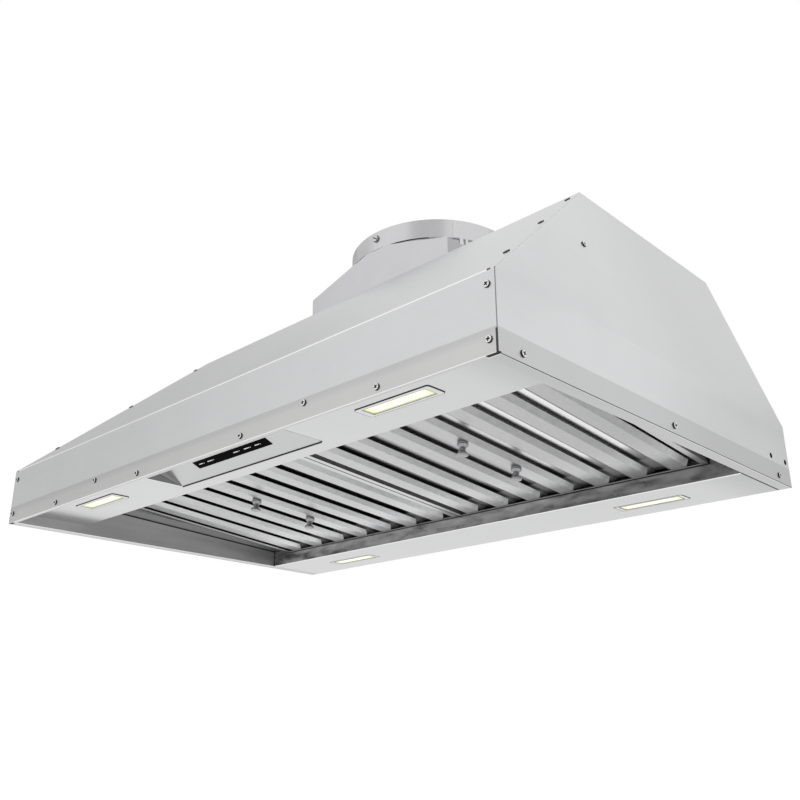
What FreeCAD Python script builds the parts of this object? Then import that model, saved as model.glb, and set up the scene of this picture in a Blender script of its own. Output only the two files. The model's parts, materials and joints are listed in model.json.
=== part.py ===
import FreeCAD, Part
import os
import re
import Sketcher

# Range hood liner: a stainless canopy insert with two lift-out baffle filters, twin blowers and a round outlet.
# Frame: origin at the middle of the bottom edge, +X to the right, +Y to the rear wall, +Z up. Millimetres.
doc = FreeCAD.newDocument("hood_liner")
dims = doc.addObject("Spreadsheet::Sheet", "dims")

SIZES = [
    # Canopy
    ("hood_width", 873.0, "width across the end panels"),
    ("hood_depth", 575.0, "depth from fascia to rear face"),
    ("hood_height", 305.0, "height of the flat top"),
    ("band_height", 77.0, "height of the upright band"),
    ("roof_inset", 72.5, "lean of each end between band and top"),
    ("roof_run", 265.0, "depth taken by the sloping front"),
    ("sheet", 1.2, "gauge of the canopy sheet"),
    ("hem_depth", 5.0, "hem under the fascia"),
    ("bend_radius", 3.0, "outside radius of the fascia bend"),
    ("flange_width", 14.0, "width of the hidden return flanges"),
    ("sheet_gap", 0.3, "clearance between pieces that slide into place"),
    ("mount_hole_radius", 3.25, "mounting holes in the ends and the rear"),
    ("mount_hole_height", 30.0, "height of the end panels' mounting holes"),
    ("mount_hole_back", 9.6, "rearmost end hole to the rear face"),
    ("mount_hole_pitch", 40.5, "spacing of the two end holes"),
    ("wall_hole_inset", 136.5, "rear holes in from the ends"),
    ("wall_hole_rise", 140.0, "spacing of the rear holes upwards"),
    ("wall_hole_height", 170.0, "height of the rear holes' centre"),
    ("screw_radius", 3.4, "heads of the canopy's screws"),
    ("screw_height", 1.6, "heads of the canopy's screws"),
    ("screw_low", 7.2, "fascia's lower row above the bottom edge"),
    ("screw_high", 18.0, "fascia's upper row above the bottom edge"),
    ("screw_inset", 8.5, "corner and hip screws in from the edge"),
    ("screw_corner_low", 13.5, "lower corner screws above the bottom edge"),
    ("screw_corner_high", 63.4, "upper corner screws above the bottom edge"),
    ("screw_end_height", 8.7, "end screws above the bottom edge"),
    ("screw_end_inset", 34.0, "end screws in from front and rear"),
    ("screw_stay_rise", 121.8, "upper end screws above the band"),
    ("screw_stay_back", 66.0, "upper end screws behind the hip edge"),
    # Underside
    ("rim_width", 15.0, "bottom rim at each end"),
    ("strip_depth", 109.9, "fascia to the rear edge of the front strip"),
    ("strip_rise", 13.7, "front strip above the bottom edge"),
    ("strip_lip_height", 28.0, "upturned rear lip of the front strip"),
    ("rear_strip_depth", 104.3, "rear strip, lip to rear face"),
    ("rear_lip_height", 18.5, "filter seat above the bottom edge"),
    ("rear_lip_seat", 15.0, "depth of the filter seat"),
    ("ledge_width", 36.5, "side ledges between inner wall and filter"),
    ("ledge_height", 25.2, "side ledges at the rear lip"),
    ("ledge_slope", 3.05, "rise of the side ledges to the front, degrees"),
    ("ledge_lip", 12.0, "upturned inner edge of the ledges"),
    # Control
    ("control_width", 263.0, "control recess across"),
    ("control_front", 33.1, "fascia to the recess's front edge"),
    ("control_depth", 52.0, "recess from front to rear"),
    ("control_angle", 22.2, "slant of the control plate, degrees"),
    ("glass_width", 139.0, "touch glass across"),
    ("glass_height", 13.7, "touch glass along the plate"),
    ("glass_up", 19.0, "plate's rear edge to the glass"),
    ("glass_thickness", 2.0, "touch glass"),
    ("glass_proud", 0.4, "glass below the plate's face"),
    ("glass_fit", 0.2, "gap round the glass"),
    ("board_border", 6.0, "control board beyond the glass"),
    ("board_thickness", 8.0, "control board with its case"),
    ("tab_width", 15.0, "folded tab of the recess's ends"),
    ("tab_sheet", 0.6, "gauge of the recess's ends at the tab"),
    # Lamps
    ("lamp_length", 98.0, "bezel across"),
    ("lamp_width", 26.5, "bezel front to rear"),
    ("lamp_corner", 3.5, "bezel corner radius"),
    ("lamp_gap", 0.3, "gap round the bezel"),
    ("lens_length", 82.0, "visible lens across"),
    ("lens_width", 16.5, "visible lens front to rear"),
    ("lens_rim", 2.0, "lens flange behind the bezel"),
    ("lens_sink", 0.3, "lens above the bezel's face"),
    ("lamp_inset", 160.5, "lamp centres in from the ends"),
    ("front_lamp_back", 53.8, "fascia to the front lamps"),
    ("rear_lamp_back", 49.5, "rear face to the rear lamps"),
    ("tray_border", 5.0, "tray flange beyond the bezel"),
    ("tray_height", 11.0, "lamp tray above the strip"),
    # Filters
    ("filter_tilt", 4.8, "rise of the filters to the front, degrees"),
    ("filter_height", 11.4, "filter frame"),
    ("filter_rail", 8.0, "width of the frame's flanges"),
    ("filter_rail_show", 4.0, "rear flange in front of the lip"),
    ("filter_sheet", 1.0, "gauge of the filters"),
    ("filter_side_gap", 1.0, "gap beside each filter"),
    ("filter_front_gap", 6.0, "strip lip to filter"),
    ("filter_seat", 10.0, "length of filter that lies on the lip"),
    ("seat_gap", 0.3, "filter above its seat"),
    ("baffle_count", 7, "lower baffles in each filter"),
    ("baffle_margin", 21.7, "outside of the frame to the first flat"),
    ("baffle_shift", 4.5, "row of baffles to the left of the frame's middle"),
    ("baffle_flat", 20.4, "flat bottom of a lower baffle"),
    ("baffle_run", 7.6, "sloping side of a lower baffle, across"),
    ("baffle_rise", 4.5, "sloping side of a lower baffle, upwards"),
    ("baffle_stop", 1.5, "rear end of the sloping sides to the frame's flange"),
    ("baffle_mitre", 12.5, "slant of the sloping sides' rear ends"),
    ("upper_lap", 1.4, "flat top of an upper baffle beyond the edges of the lower ones"),
    ("upper_run", 7.6, "sloping side of an upper baffle, across"),
    ("upper_drop", 5.0, "sloping side of an upper baffle, downwards"),
    ("tie_width", 5.0, "strips that tie a row of baffles together"),
    ("knob_front", 220.0, "hinge line to the front knob"),
    ("knob_pitch", 102.4, "front knob to rear knob"),
    ("knob_offset", 3.0, "knobs to the right of the middle baffle"),
    ("knob_length", 17.0, "knob"),
    ("knob_radius", 6.0, "knob's grip"),
    ("knob_base_radius", 5.0, "knob's foot"),
    ("knob_neck_radius", 2.7, "knob's neck"),
    ("rail_height", 20.0, "filter rail above the strip lip"),
    ("rail_cover", 12.0, "filter rail over the filter"),
    ("catch_width", 40.0, "leaf catch across"),
    ("catch_sheet", 0.8, "gauge of the leaf catch"),
    ("catch_gap", 1.5, "leaf catch to filter"),
    # Outlet
    ("collar_radius", 127.0, "outside of the duct collar"),
    ("collar_height", 29.2, "duct collar band"),
    ("collar_lift", 83.8, "flat top to the collar band"),
    ("collar_from_rear", 150.0, "collar axis to the rear face"),
    ("collar_overlap", 10.0, "neck inside the collar"),
    ("transition_width", 275.0, "transition box across"),
    ("transition_margin", 1.0, "transition face in front of the collar"),
    ("transition_wall", 49.0, "upright sides of the transition"),
    ("transition_slope", 16.4, "slope of its shoulders, degrees"),
    ("rod_radius", 3.0, "damper rod"),
    ("rod_drop", 11.3, "collar rim to the damper rod"),
    ("rod_fit", 0.08, "running clearance of the flaps on the rod"),
    ("rod_head_radius", 5.5, "heads of the damper rod"),
    ("rod_head_height", 2.5, "heads of the damper rod"),
    ("flap_sheet", 1.0, "damper flaps"),
    ("flap_gap", 1.5, "damper flaps to the collar"),
    ("flap_stop", 4.0, "width of the flaps' stop bead"),
    ("knuckle_length", 47.5, "hinge knuckle of a flap"),
    ("knuckle_wall", 1.3, "wall of a hinge knuckle"),
    # Blowers
    ("blower_height", 165.0, "impeller axis above the bottom edge"),
    ("blower_forward", 8.0, "impeller axis in front of the collar's axis"),
    ("blower_split", 6.0, "middle to the inner side of each scroll"),
    ("scroll_width", 112.0, "scroll housing across"),
    ("scroll_front", 84.0, "axis to the scroll's front"),
    ("scroll_bottom", 96.0, "axis to the scroll's bottom"),
    ("scroll_rear", 108.0, "axis to the scroll's rear"),
    ("scroll_tongue", 10.0, "axis to the outlet's front wall"),
    ("inlet_radius", 62.0, "scroll inlet"),
    ("impeller_radius", 72.0, "impeller"),
    ("impeller_gap", 8.0, "impeller to the scroll's sides"),
    ("blade_count", 24, "impeller blades"),
    ("blade_depth", 13.0, "impeller blades, radially"),
    ("blade_sweep", 7.0, "forward sweep of the blades"),
    ("blade_sheet", 1.0, "impeller blades and plates"),
    ("hub_radius", 12.0, "impeller hub"),
    ("hub_length", 16.0, "impeller hub"),
    ("shaft_radius", 4.0, "motor shaft"),
    ("shaft_fit", 0.05, "running clearance of the shaft"),
    ("motor_radius", 38.0, "blower motor"),
    ("motor_length", 70.0, "blower motor"),
    ("motor_proud", 14.0, "motor outside the scroll"),
    ("bracket_sheet", 2.0, "motor bracket"),
    ("bracket_ring", 5.0, "rings of the motor bracket"),
    ("bracket_arm", 12.0, "arms of the motor bracket"),
    # Supply
    ("box_length", 110.0, "junction box across"),
    ("box_width", 80.0, "junction box front to rear"),
    ("box_height", 45.0, "junction box"),
    ("box_inset", 146.5, "junction box's centre in from the left end"),
    ("box_from_rear", 130.0, "rear face to the junction box's centre"),
    ("supply_radius", 11.0, "supply knockout"),
    ("bush_wall", 2.0, "wall of the supply bush"),
    ("bush_flange", 4.0, "flange of the supply bush"),
    ("driver_width", 60.0, "lamp driver front to rear"),
    ("driver_height", 22.0, "lamp driver"),
    ("driver_clear", 8.0, "lamp driver to the control recess and the lamp tray"),
]

# Lengths that follow from the sizes above.
FORMULAS = {
    "half_width": "hood_width / 2",
    "half_depth": "hood_depth / 2",
    "front_face": "-hood_depth / 2",
    "roof_rise": "hood_height - band_height",
    "lean_ratio": "roof_inset / roof_rise",
    "run_ratio": "roof_run / roof_rise",
    "lean_sheet": "sheet * sqrt(1 + lean_ratio^2)",
    "slope_sheet": "sheet * sqrt(1 + run_ratio^2)",
    "lean_crease": "band_height - (lean_sheet - sheet) / lean_ratio",
    "slope_crease": "band_height - (slope_sheet - sheet) / run_ratio",
    "flange_crease": "band_height - 2 * (slope_sheet - sheet) / run_ratio",
    "top_front": "front_face + roof_run + slope_sheet",
    "top_half": "half_width - roof_inset - lean_sheet",
    "top_under": "hood_height - sheet",
    "flange_drop": "flange_width / sqrt(1 + run_ratio^2)",
    "flange_top": "hood_height - flange_width",
    "past": "5 * sheet",
    "inner_half": "half_width - rim_width",
    "strip_half": "inner_half - sheet_gap",
    "strip_rear": "front_face + strip_depth",
    "strip_top": "strip_rise + sheet",
    "strip_lip_top": "strip_top + strip_lip_height",
    "rear_lip": "half_depth - rear_strip_depth",
    "opening_half": "inner_half - ledge_width",
    "lamp_spread": "half_width - lamp_inset",
    "box_left": "half_width - box_inset",
    "driver_length": "lamp_spread - lamp_length / 2 - tray_border - mouth_half - 2 * driver_clear",
    "driver_right": "mouth_half + driver_clear + driver_length / 2",
    "ledge_front_height": "ledge_height + (rear_lip - strip_rear) * tan(ledge_slope)",
    "ledge_hem_height": "ledge_height + (rear_lip - front_face - hem_depth) * tan(ledge_slope)",
    "ledge_rear_height": "ledge_height - filter_seat * tan(ledge_slope)",
    "control_rear": "front_face + control_front + control_depth",
    "control_half": "control_width / 2",
    "mouth_half": "control_half + sheet + sheet_gap",
    "plate_length": "control_depth / cos(control_angle)",
    "mouth_back": "control_depth * cos(control_angle)",
    "mouth_down": "control_depth * sin(control_angle)",
    "filter_width": "opening_half - 2 * filter_side_gap",
    "filter_length": "(rear_lip - strip_rear - filter_front_gap) / cos(filter_tilt)",
    "frame_half": "filter_width / 2",
    "baffle_pitch": "(filter_width - 2 * baffle_margin - baffle_flat) / (baffle_count - 1)",
    "upper_flat": "baffle_pitch - baffle_flat - 2 * baffle_run + 2 * upper_lap",
    "frame_top": "seat_gap + filter_height",
    "baffle_level": "seat_gap + filter_sheet",
    "baffle_front": "filter_sheet + sheet_gap - filter_length",
    "baffle_back": "filter_seat - filter_sheet - sheet_gap",
    "upper_level": "frame_top - 2 * filter_sheet",
    "row_end": "-filter_rail_show - baffle_stop",
    "collar_y": "half_depth - collar_from_rear",
    "collar_bottom": "hood_height + collar_lift",
    "collar_top": "collar_bottom + collar_height",
    "collar_bore": "collar_radius - sheet",
    "neck_radius": "collar_bore - sheet_gap",
    "box_half": "transition_width / 2",
    "box_depth": "2 * (collar_radius + transition_margin)",
    "shoulder": "hood_height + transition_wall",
    "shoulder_sheet": "sheet / cos(transition_slope)",
    "neck_seat": "collar_bottom - sheet",
    "ridge_half": "box_half - (neck_seat - shoulder) / tan(transition_slope)",
    "rod_height": "collar_top - rod_drop",
    "flap_radius": "collar_bore - flap_gap",
    "knuckle_bore": "rod_radius + rod_fit",
    "knuckle_radius": "knuckle_bore + knuckle_wall",
    "blower_y": "collar_y - blower_forward",
    "scroll_top": "top_under - blower_height",
    "scroll_end": "blower_split + scroll_width",
    "impeller_start": "blower_split + impeller_gap",
    "impeller_end": "scroll_end - impeller_gap",
    "motor_end": "scroll_end + motor_proud",
    "motor_start": "motor_end - motor_length",
    "outlet_front": "blower_y + scroll_tongue",
    "outlet_rear": "blower_y + scroll_rear",
    "box_back": "half_depth - box_from_rear",
}

ALIASES = [alias for alias, value, note in SIZES]
NAME = re.compile(r"[a-z]+(?:_[a-z]+)*")


# Writes a formula in terms of the sheet's cells.
def bound(formula):
    def cell(match):
        word = match.group(0)
        if word in FORMULAS:
            return "(" + bound(FORMULAS[word]) + ")"
        return "dims." + word if word in ALIASES else word
    return NAME.sub(cell, formula)


# The number that a formula gives now.
def size(formula):
    return float(dims.evalExpression(bound(formula)))


for row, (alias, value, note) in enumerate(SIZES, start=1):
    dims.set("A%d" % row, note)
    dims.set("B%d" % row, str(value))
    dims.setAlias("B%d" % row, alias)
doc.recompute()

PIECES = []


# Starts a piece. Its own shape is drawn in the row frame unless it is placed.
def piece(label, kind="PartDesign::Body"):
    made = doc.addObject(kind, label)
    made.Label = label
    PIECES.append(made)
    return made


# Moves a piece to a point and turns it about one axis.
def place(made, x="0", y="0", z="0", turn="0", axis="1; 0; 0"):
    spot = "vector(%s; %s; %s)" % (x, y, z)
    made.setExpression("Placement", bound("placement(%s; rotation(vector(%s); %s))" % (spot, axis, turn)))


def origin_feature(body, role):
    return next(f for f in body.Origin.OriginFeatures if f.Role == role)


# Outlines for sketches: corners, boxes between two corners, circles and rounded boxes about a centre.
def poly(*corners):
    return ("poly", corners)


def box(x0, y0, x1, y1):
    return poly((x0, y0), (x1, y0), (x1, y1), (x0, y1))


def circle(x, y, radius):
    return ("circle", (x, y, radius))


def rounded(x, y, length, width, corner):
    return ("rounded", (x, y, length, width, corner))


# Ties a point of a sketch to two formulas.
def pins(geometry, point, x, y):
    return [("DistanceX", geometry, point, x), ("DistanceY", geometry, point, y)]


def draw(sketch, loop):
    kind, data = loop
    first = sketch.GeometryCount
    joins = []
    ties = []
    if kind == "circle":
        x, y, radius = data
        centre = FreeCAD.Vector(size(x), size(y), 0)
        sketch.addGeometry(Part.Circle(centre, FreeCAD.Vector(0, 0, 1), size(radius)))
        ties = pins(first, 3, x, y) + [("Radius", first, None, radius)]
    elif kind == "poly":
        spots = [FreeCAD.Vector(size(x), size(y), 0) for x, y in data]
        count = len(spots)
        for i in range(count):
            sketch.addGeometry(Part.LineSegment(spots[i], spots[(i + 1) % count]))
            joins.append((first + i, 2, first + (i + 1) % count, 1))
            ties += pins(first + i, 1, *data[i])
    else:
        joins, ties = draw_rounded(sketch, first, data)
    added = [Sketcher.Constraint("Coincident", *join) for join in joins]
    for tie, geometry, point, formula in ties:
        ends = (geometry,) if point is None else (-1, 1, geometry, point)
        added.append(Sketcher.Constraint(tie, *ends, size(formula)))
    indices = sketch.addConstraint(added)[len(joins):]
    for index, (tie, geometry, point, formula) in zip(indices, ties):
        sketch.setExpression("Constraints[%d]" % index, bound(formula))


# Four sides and four corner arcs, counter-clockwise from the bottom side.
def draw_rounded(sketch, first, data):
    x, y, length, width, corner = data
    joins = []
    ties = []
    turn = [("", "-"), ("", ""), ("-", ""), ("-", "-")]
    for i in range(4):
        sx, sy = turn[i]
        qx, qy = turn[(i + 3) % 4]
        across = i % 2 == 0
        ax, ay = (corner, "0") if across else ("0", corner)
        x0 = "%s + (%s1) * (%s / 2 - %s)" % (x, qx, length, ax)
        y0 = "%s + (%s1) * (%s / 2 - %s)" % (y, qy, width, ay)
        x1 = "%s + (%s1) * (%s / 2 - %s)" % (x, sx, length, ax)
        y1 = "%s + (%s1) * (%s / 2 - %s)" % (y, sy, width, ay)
        start = FreeCAD.Vector(size(x0), size(y0), 0)
        end = FreeCAD.Vector(size(x1), size(y1), 0)
        cx = size("%s + (%s1) * (%s / 2 - %s)" % (x, sx, length, corner))
        cy = size("%s + (%s1) * (%s / 2 - %s)" % (y, sy, width, corner))
        ring = Part.Circle(FreeCAD.Vector(cx, cy, 0), FreeCAD.Vector(0, 0, 1), size(corner))
        sketch.addGeometry(Part.LineSegment(start, end))
        quarter = (i - 1) * 1.5707963267948966
        sketch.addGeometry(Part.ArcOfCircle(ring, quarter, quarter + 1.5707963267948966))
        side = first + 2 * i
        joins.append((side, 2, side + 1, 1))
        joins.append((side + 1, 2, first + (2 * i + 2) % 8, 1))
        ties += pins(side, 1, x0, y0) + pins(side, 2, x1, y1) + [("Radius", side + 1, None, corner)]
    return joins, ties


# A sketch on one of the body's own planes, moved along the row axis that the plane faces.
def sketch_on(body, name, plane, loops, level="0"):
    sketch = body.newObject("Sketcher::SketchObject", body.Label + "_" + name)
    sketch.AttachmentSupport = [(origin_feature(body, plane + "_Plane"), "")]
    sketch.MapMode = "FlatFace"
    sign = "-1" if plane == "XZ" else "1"
    sketch.setExpression("AttachmentOffset.Base.z", bound("%s * (%s)" % (sign, level)))
    for loop in loops:
        draw(sketch, loop)
    return sketch


# True where a sketch's own normal points against its row axis.
def faces_back(sketch):
    return sketch.AttachmentSupport[0][0].Role == "XZ_Plane"


# Adds material from a sketch: both ways about it, or towards plus or minus of its row axis.
def pad(body, name, plane, loops, length, way="both", level="0"):
    sketch = sketch_on(body, name + "_sketch", plane, loops, level)
    made = body.newObject("PartDesign::Pad", body.Label + "_" + name)
    made.Profile = sketch
    made.setExpression("Length", bound(length))
    if way == "both":
        made.SideType = "Symmetric"
    else:
        made.Reversed = (way == "minus") != faces_back(sketch)
    return made


# Takes material away, right through the piece or to a depth, and checks that something was cut.
def pocket(body, name, plane, loops, length=None, way="both", level="0"):
    doc.recompute()
    before = body.Shape.Volume
    sketch = sketch_on(body, name + "_sketch", plane, loops, level)
    made = body.newObject("PartDesign::Pocket", body.Label + "_" + name)
    made.Profile = sketch
    if length is None:
        made.Type = "ThroughAll"
    else:
        made.setExpression("Length", bound(length))
    if way == "both":
        made.SideType = "Symmetric"
    else:
        made.Reversed = (way == "plus") != faces_back(sketch)
    doc.recompute()
    if body.Shape.Volume >= before:
        raise ValueError("%s cuts nothing" % made.Name)
    return made


# Turns a profile once round one of the body's own axes.
def revolve(body, name, plane, loops, axis):
    made = body.newObject("PartDesign::Revolution", body.Label + "_" + name)
    made.Profile = sketch_on(body, name + "_sketch", plane, loops)
    made.ReferenceAxis = (origin_feature(body, axis + "_Axis"), [""])
    made.Angle = 360
    return made


# Repeats features in a row along one of the body's own axes.
def row_of(body, name, features, axis, count, pitch):
    doc.recompute()
    made = body.newObject("PartDesign::LinearPattern", body.Label + "_" + name)
    made.Originals = features
    made.Direction = (origin_feature(body, axis + "_Axis"), [""])
    made.Mode = "Spacing"
    made.setExpression("Offset", bound(pitch))
    made.setExpression("Occurrences", bound(count))
    body.Tip = made
    return made


# Repeats features round one of the body's own axes.
def ring_of(body, name, features, axis, count):
    doc.recompute()
    made = body.newObject("PartDesign::PolarPattern", body.Label + "_" + name)
    made.Originals = features
    made.Axis = (origin_feature(body, axis + "_Axis"), [""])
    made.Angle = 360
    made.setExpression("Occurrences", bound(count))
    body.Tip = made
    return made


# Rounds the edges of a feature that a test picks.
def fillet(body, name, feature, radius, test):
    doc.recompute()
    edges = ["Edge%d" % i for i, edge in enumerate(feature.Shape.Edges, start=1) if test(edge)]
    made = body.newObject("PartDesign::Fillet", body.Label + "_" + name)
    made.Base = (feature, edges)
    made.setExpression("Radius", bound(radius))
    return made


SIDES = (("left", "-1"), ("right", "1"))


# A formula on the left or right of the middle plane.
def on_side(sign, formula):
    return "%s * (%s)" % (sign, formula)


# Front panel: hem, upright fascia and sloping front in one bent sheet, its ends cut along the hips.
front = piece("front_panel")
bent = pad(front, "sheet", "YZ", [poly(
    ("front_face", "0"),
    ("front_face", "band_height"),
    ("front_face + roof_run", "hood_height"),
    ("top_front", "hood_height"),
    ("front_face + sheet", "slope_crease"),
    ("front_face + sheet", "sheet"),
    ("front_face + hem_depth", "sheet"),
    ("front_face + hem_depth", "0"),
)], "hood_width")


def is_bend(edge):
    middle = edge.CenterOfMass
    on_face = abs(middle.y - size("front_face")) < 0.01
    return on_face and abs(middle.z - size("band_height")) < 0.01 and abs(middle.x) < 0.01


fillet(front, "bend", bent, "bend_radius", is_bend)
pocket(front, "hips", "XZ", [poly(
    (on_side(sign, "half_width"), "band_height"),
    (on_side(sign, "half_width - roof_inset"), "hood_height"),
    (on_side(sign, "half_width - roof_inset"), "hood_height + past"),
    (on_side(sign, "half_width + past"), "hood_height + past"),
    (on_side(sign, "half_width + past"), "band_height"),
) for side, sign in SIDES])

for side, sign in SIDES:
    # End panel: upright band, leaning part above it, front edge cut to lie behind the front panel.
    end = piece("end_panel_" + side)
    pad(end, "sheet", "XZ", [poly(
        (on_side(sign, "half_width"), "0"),
        (on_side(sign, "half_width"), "band_height"),
        (on_side(sign, "half_width - roof_inset"), "hood_height"),
        (on_side(sign, "top_half"), "hood_height"),
        (on_side(sign, "half_width - sheet"), "lean_crease"),
        (on_side(sign, "half_width - sheet"), "0"),
    )], "hood_depth")
    pocket(end, "front_edge", "YZ", [poly(
        ("front_face - past", "-past"),
        ("front_face + hem_depth", "-past"),
        ("front_face + hem_depth", "sheet"),
        ("front_face + sheet", "sheet"),
        ("front_face + sheet", "slope_crease"),
        ("top_front", "hood_height"),
        ("top_front", "hood_height + past"),
        ("front_face - past", "hood_height + past"),
    )])
    pocket(end, "mounting_holes", "YZ", [
        circle("half_depth - mount_hole_back", "mount_hole_height", "mount_hole_radius"),
        circle("half_depth - mount_hole_back - mount_hole_pitch", "mount_hole_height", "mount_hole_radius"),
    ])

    # Return flange: a bent strip behind the front panel's end, inside the end panel.
    flange = piece("front_flange_" + side)
    pad(flange, "strip", "YZ", [poly(
        ("front_face + sheet", "strip_top + sheet_gap"),
        ("front_face + sheet", "slope_crease"),
        ("front_face + slope_sheet + (flange_top - band_height) * run_ratio", "flange_top"),
        ("front_face + 2 * slope_sheet + (flange_top - band_height) * run_ratio", "flange_top"),
        ("front_face + 2 * sheet", "flange_crease"),
        ("front_face + 2 * sheet", "strip_top + sheet_gap"),
    )], "roof_inset + 2 * flange_width", "plus" if sign == "1" else "minus",
        on_side(sign, "half_width - roof_inset - 2 * flange_width"))
    pocket(flange, "edges", "XZ", [poly(
        (on_side(sign, "half_width - sheet"), "-past"),
        (on_side(sign, "half_width - sheet"), "lean_crease"),
        (on_side(sign, "top_half"), "hood_height"),
        (on_side(sign, "half_width + past"), "hood_height"),
        (on_side(sign, "half_width + past"), "-past"),
    ), poly(
        (on_side(sign, "half_width - sheet - flange_width"), "-past"),
        (on_side(sign, "half_width - sheet - flange_width"), "lean_crease"),
        (on_side(sign, "top_half - flange_width"), "hood_height"),
        (on_side(sign, "top_half - 3 * flange_width"), "hood_height"),
        (on_side(sign, "top_half - 3 * flange_width"), "-past"),
    )])

    # Side liner: bottom rim, inner wall, and the slanting ledge with an upturned edge beside the filter.
    liner = piece("side_liner_" + side)
    pad(liner, "wall", "YZ", [poly(
        ("front_face + hem_depth", "0"),
        ("rear_lip", "0"),
        ("rear_lip", "ledge_height"),
        ("front_face + hem_depth", "ledge_hem_height"),
    )], "sheet", "plus" if sign == "1" else "minus", on_side(sign, "inner_half"))
    pad(liner, "rim", "XY", [box(
        on_side(sign, "inner_half"), "front_face + hem_depth",
        on_side(sign, "half_width - sheet"), "half_depth - sheet",
    )], "sheet", "plus")
    pad(liner, "ledge", "YZ", [poly(
        ("strip_rear", "ledge_front_height"),
        ("rear_lip + filter_seat", "ledge_rear_height"),
        ("rear_lip + filter_seat", "ledge_rear_height + sheet"),
        ("strip_rear", "ledge_front_height + sheet"),
    )], "inner_half + sheet - opening_half", "minus" if sign == "1" else "plus",
        on_side(sign, "inner_half + sheet"))
    pad(liner, "edge", "YZ", [poly(
        ("strip_rear", "ledge_front_height"),
        ("rear_lip + filter_seat", "ledge_rear_height"),
        ("rear_lip + filter_seat", "ledge_rear_height + ledge_lip"),
        ("strip_rear", "ledge_front_height + ledge_lip"),
    )], "sheet", "plus" if sign == "1" else "minus", on_side(sign, "opening_half"))


# A low screw head on a face: a cone frustum from a point outwards.
def screw_head(point, way):
    return Part.makeCone(size("screw_radius"), size("screw_radius * 0.6"), size("screw_height"), point, way)


# Front screws: two rows low on the fascia, two at each corner, three up each hip edge of the slope.
front_screws = piece("front_screws", "Part::Feature")
out = FreeCAD.Vector(0, -1, 0)
rows = [(k * size("hood_width") / 8.73, "screw_low") for k in (-3, -1, 1, 3)]
rows += [(k * size("hood_width") / 8.73, "screw_high") for k in (-2, 2)]
rows += [(way * size("half_width - screw_inset"), z) for way in (-1, 1)
         for z in ("screw_corner_low", "screw_corner_high")]
heads = [screw_head(FreeCAD.Vector(x, size("front_face"), size(z)), out) for x, z in rows]
up_slope = FreeCAD.Vector(0, -size("roof_rise"), size("roof_run"))
for share in (0.18, 0.55, 0.91):
    rise = share * size("roof_rise")
    hip_y = size("front_face") + rise * size("run_ratio")
    hip_x = size("half_width - screw_inset") - rise * size("lean_ratio")
    heads += [screw_head(FreeCAD.Vector(way * hip_x, hip_y, size("band_height") + rise), up_slope)
              for way in (-1, 1)]
front_screws.Shape = Part.makeCompound(heads)

# End screws: three low on each end's band and one on the leaning part.
end_screws = piece("end_screws", "Part::Feature")
heads = []
for way in (-1, 1):
    end_y = size("half_depth - screw_end_inset")
    heads += [screw_head(FreeCAD.Vector(way * size("half_width"), y, size("screw_end_height")),
                         FreeCAD.Vector(way, 0, 0)) for y in (-end_y, 0, end_y)]
    stay = FreeCAD.Vector(way * size("half_width - screw_stay_rise * lean_ratio"),
                          size("front_face + screw_stay_rise * run_ratio + screw_stay_back"),
                          size("band_height + screw_stay_rise"))
    heads.append(screw_head(stay, FreeCAD.Vector(way * size("roof_rise"), 0, size("roof_inset"))))
end_screws.Shape = Part.makeCompound(heads)

# Rear panel: a plate between the end panels, with four wall holes.
rear = piece("rear_panel")
rear_outline = [("1", "half_width - sheet", "0"), ("1", "half_width - sheet", "lean_crease"),
                ("1", "top_half + sheet * lean_ratio", "top_under"),
                ("-1", "top_half + sheet * lean_ratio", "top_under"),
                ("-1", "half_width - sheet", "lean_crease"), ("-1", "half_width - sheet", "0")]
pad(rear, "plate", "XZ", [poly(*[(on_side(sign, x), z) for sign, x, z in rear_outline])],
    "sheet", "minus", "half_depth")
pocket(rear, "wall_holes", "XZ", [
    circle(on_side(sign, "half_width - wall_hole_inset"), "wall_hole_height %s wall_hole_rise / 2" % up,
           "mount_hole_radius") for side, sign in SIDES for up in "+-"])

# Top panel: flat plate with a front flange bent down the slope, an outlet opening and the supply knockout.
top = piece("top_panel")
pad(top, "plate", "YZ", [poly(
    ("top_front", "hood_height"),
    ("half_depth", "hood_height"),
    ("half_depth", "top_under"),
    ("top_front + slope_sheet - sheet * run_ratio", "top_under"),
    ("top_front + slope_sheet - flange_drop * run_ratio", "hood_height - flange_drop"),
    ("top_front - flange_drop * run_ratio", "hood_height - flange_drop"),
)], "2 * top_half")
pocket(top, "outlet", "XY", [box(
    "-scroll_end + sheet", "outlet_front + sheet", "scroll_end - sheet", "outlet_rear - sheet",
), circle("-box_left", "box_back", "supply_radius")], level="hood_height")

# Front light strip: plate above the bottom edge, screwing flange at the fascia, upturned rear lip.
front_strip = piece("front_light_strip")
pad(front_strip, "sheet", "YZ", [poly(
    ("front_face + sheet", "sheet"),
    ("front_face + 2 * sheet", "sheet"),
    ("front_face + 2 * sheet", "strip_rise"),
    ("strip_rear", "strip_rise"),
    ("strip_rear", "strip_lip_top"),
    ("strip_rear - sheet", "strip_lip_top"),
    ("strip_rear - sheet", "strip_top"),
    ("front_face + sheet", "strip_top"),
)], "2 * strip_half")
pocket(front_strip, "cut_outs", "XY", [
    rounded(on_side(sign, "lamp_spread"), "front_face + front_lamp_back", "(lamp_length + 2 * lamp_gap)",
            "(lamp_width + 2 * lamp_gap)", "(lamp_corner + lamp_gap)") for side, sign in SIDES
] + [box("-mouth_half", "front_face + control_front - sheet - sheet_gap",
         "mouth_half", "control_rear + sheet * sin(control_angle) + sheet_gap")], level="strip_rise")

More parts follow.
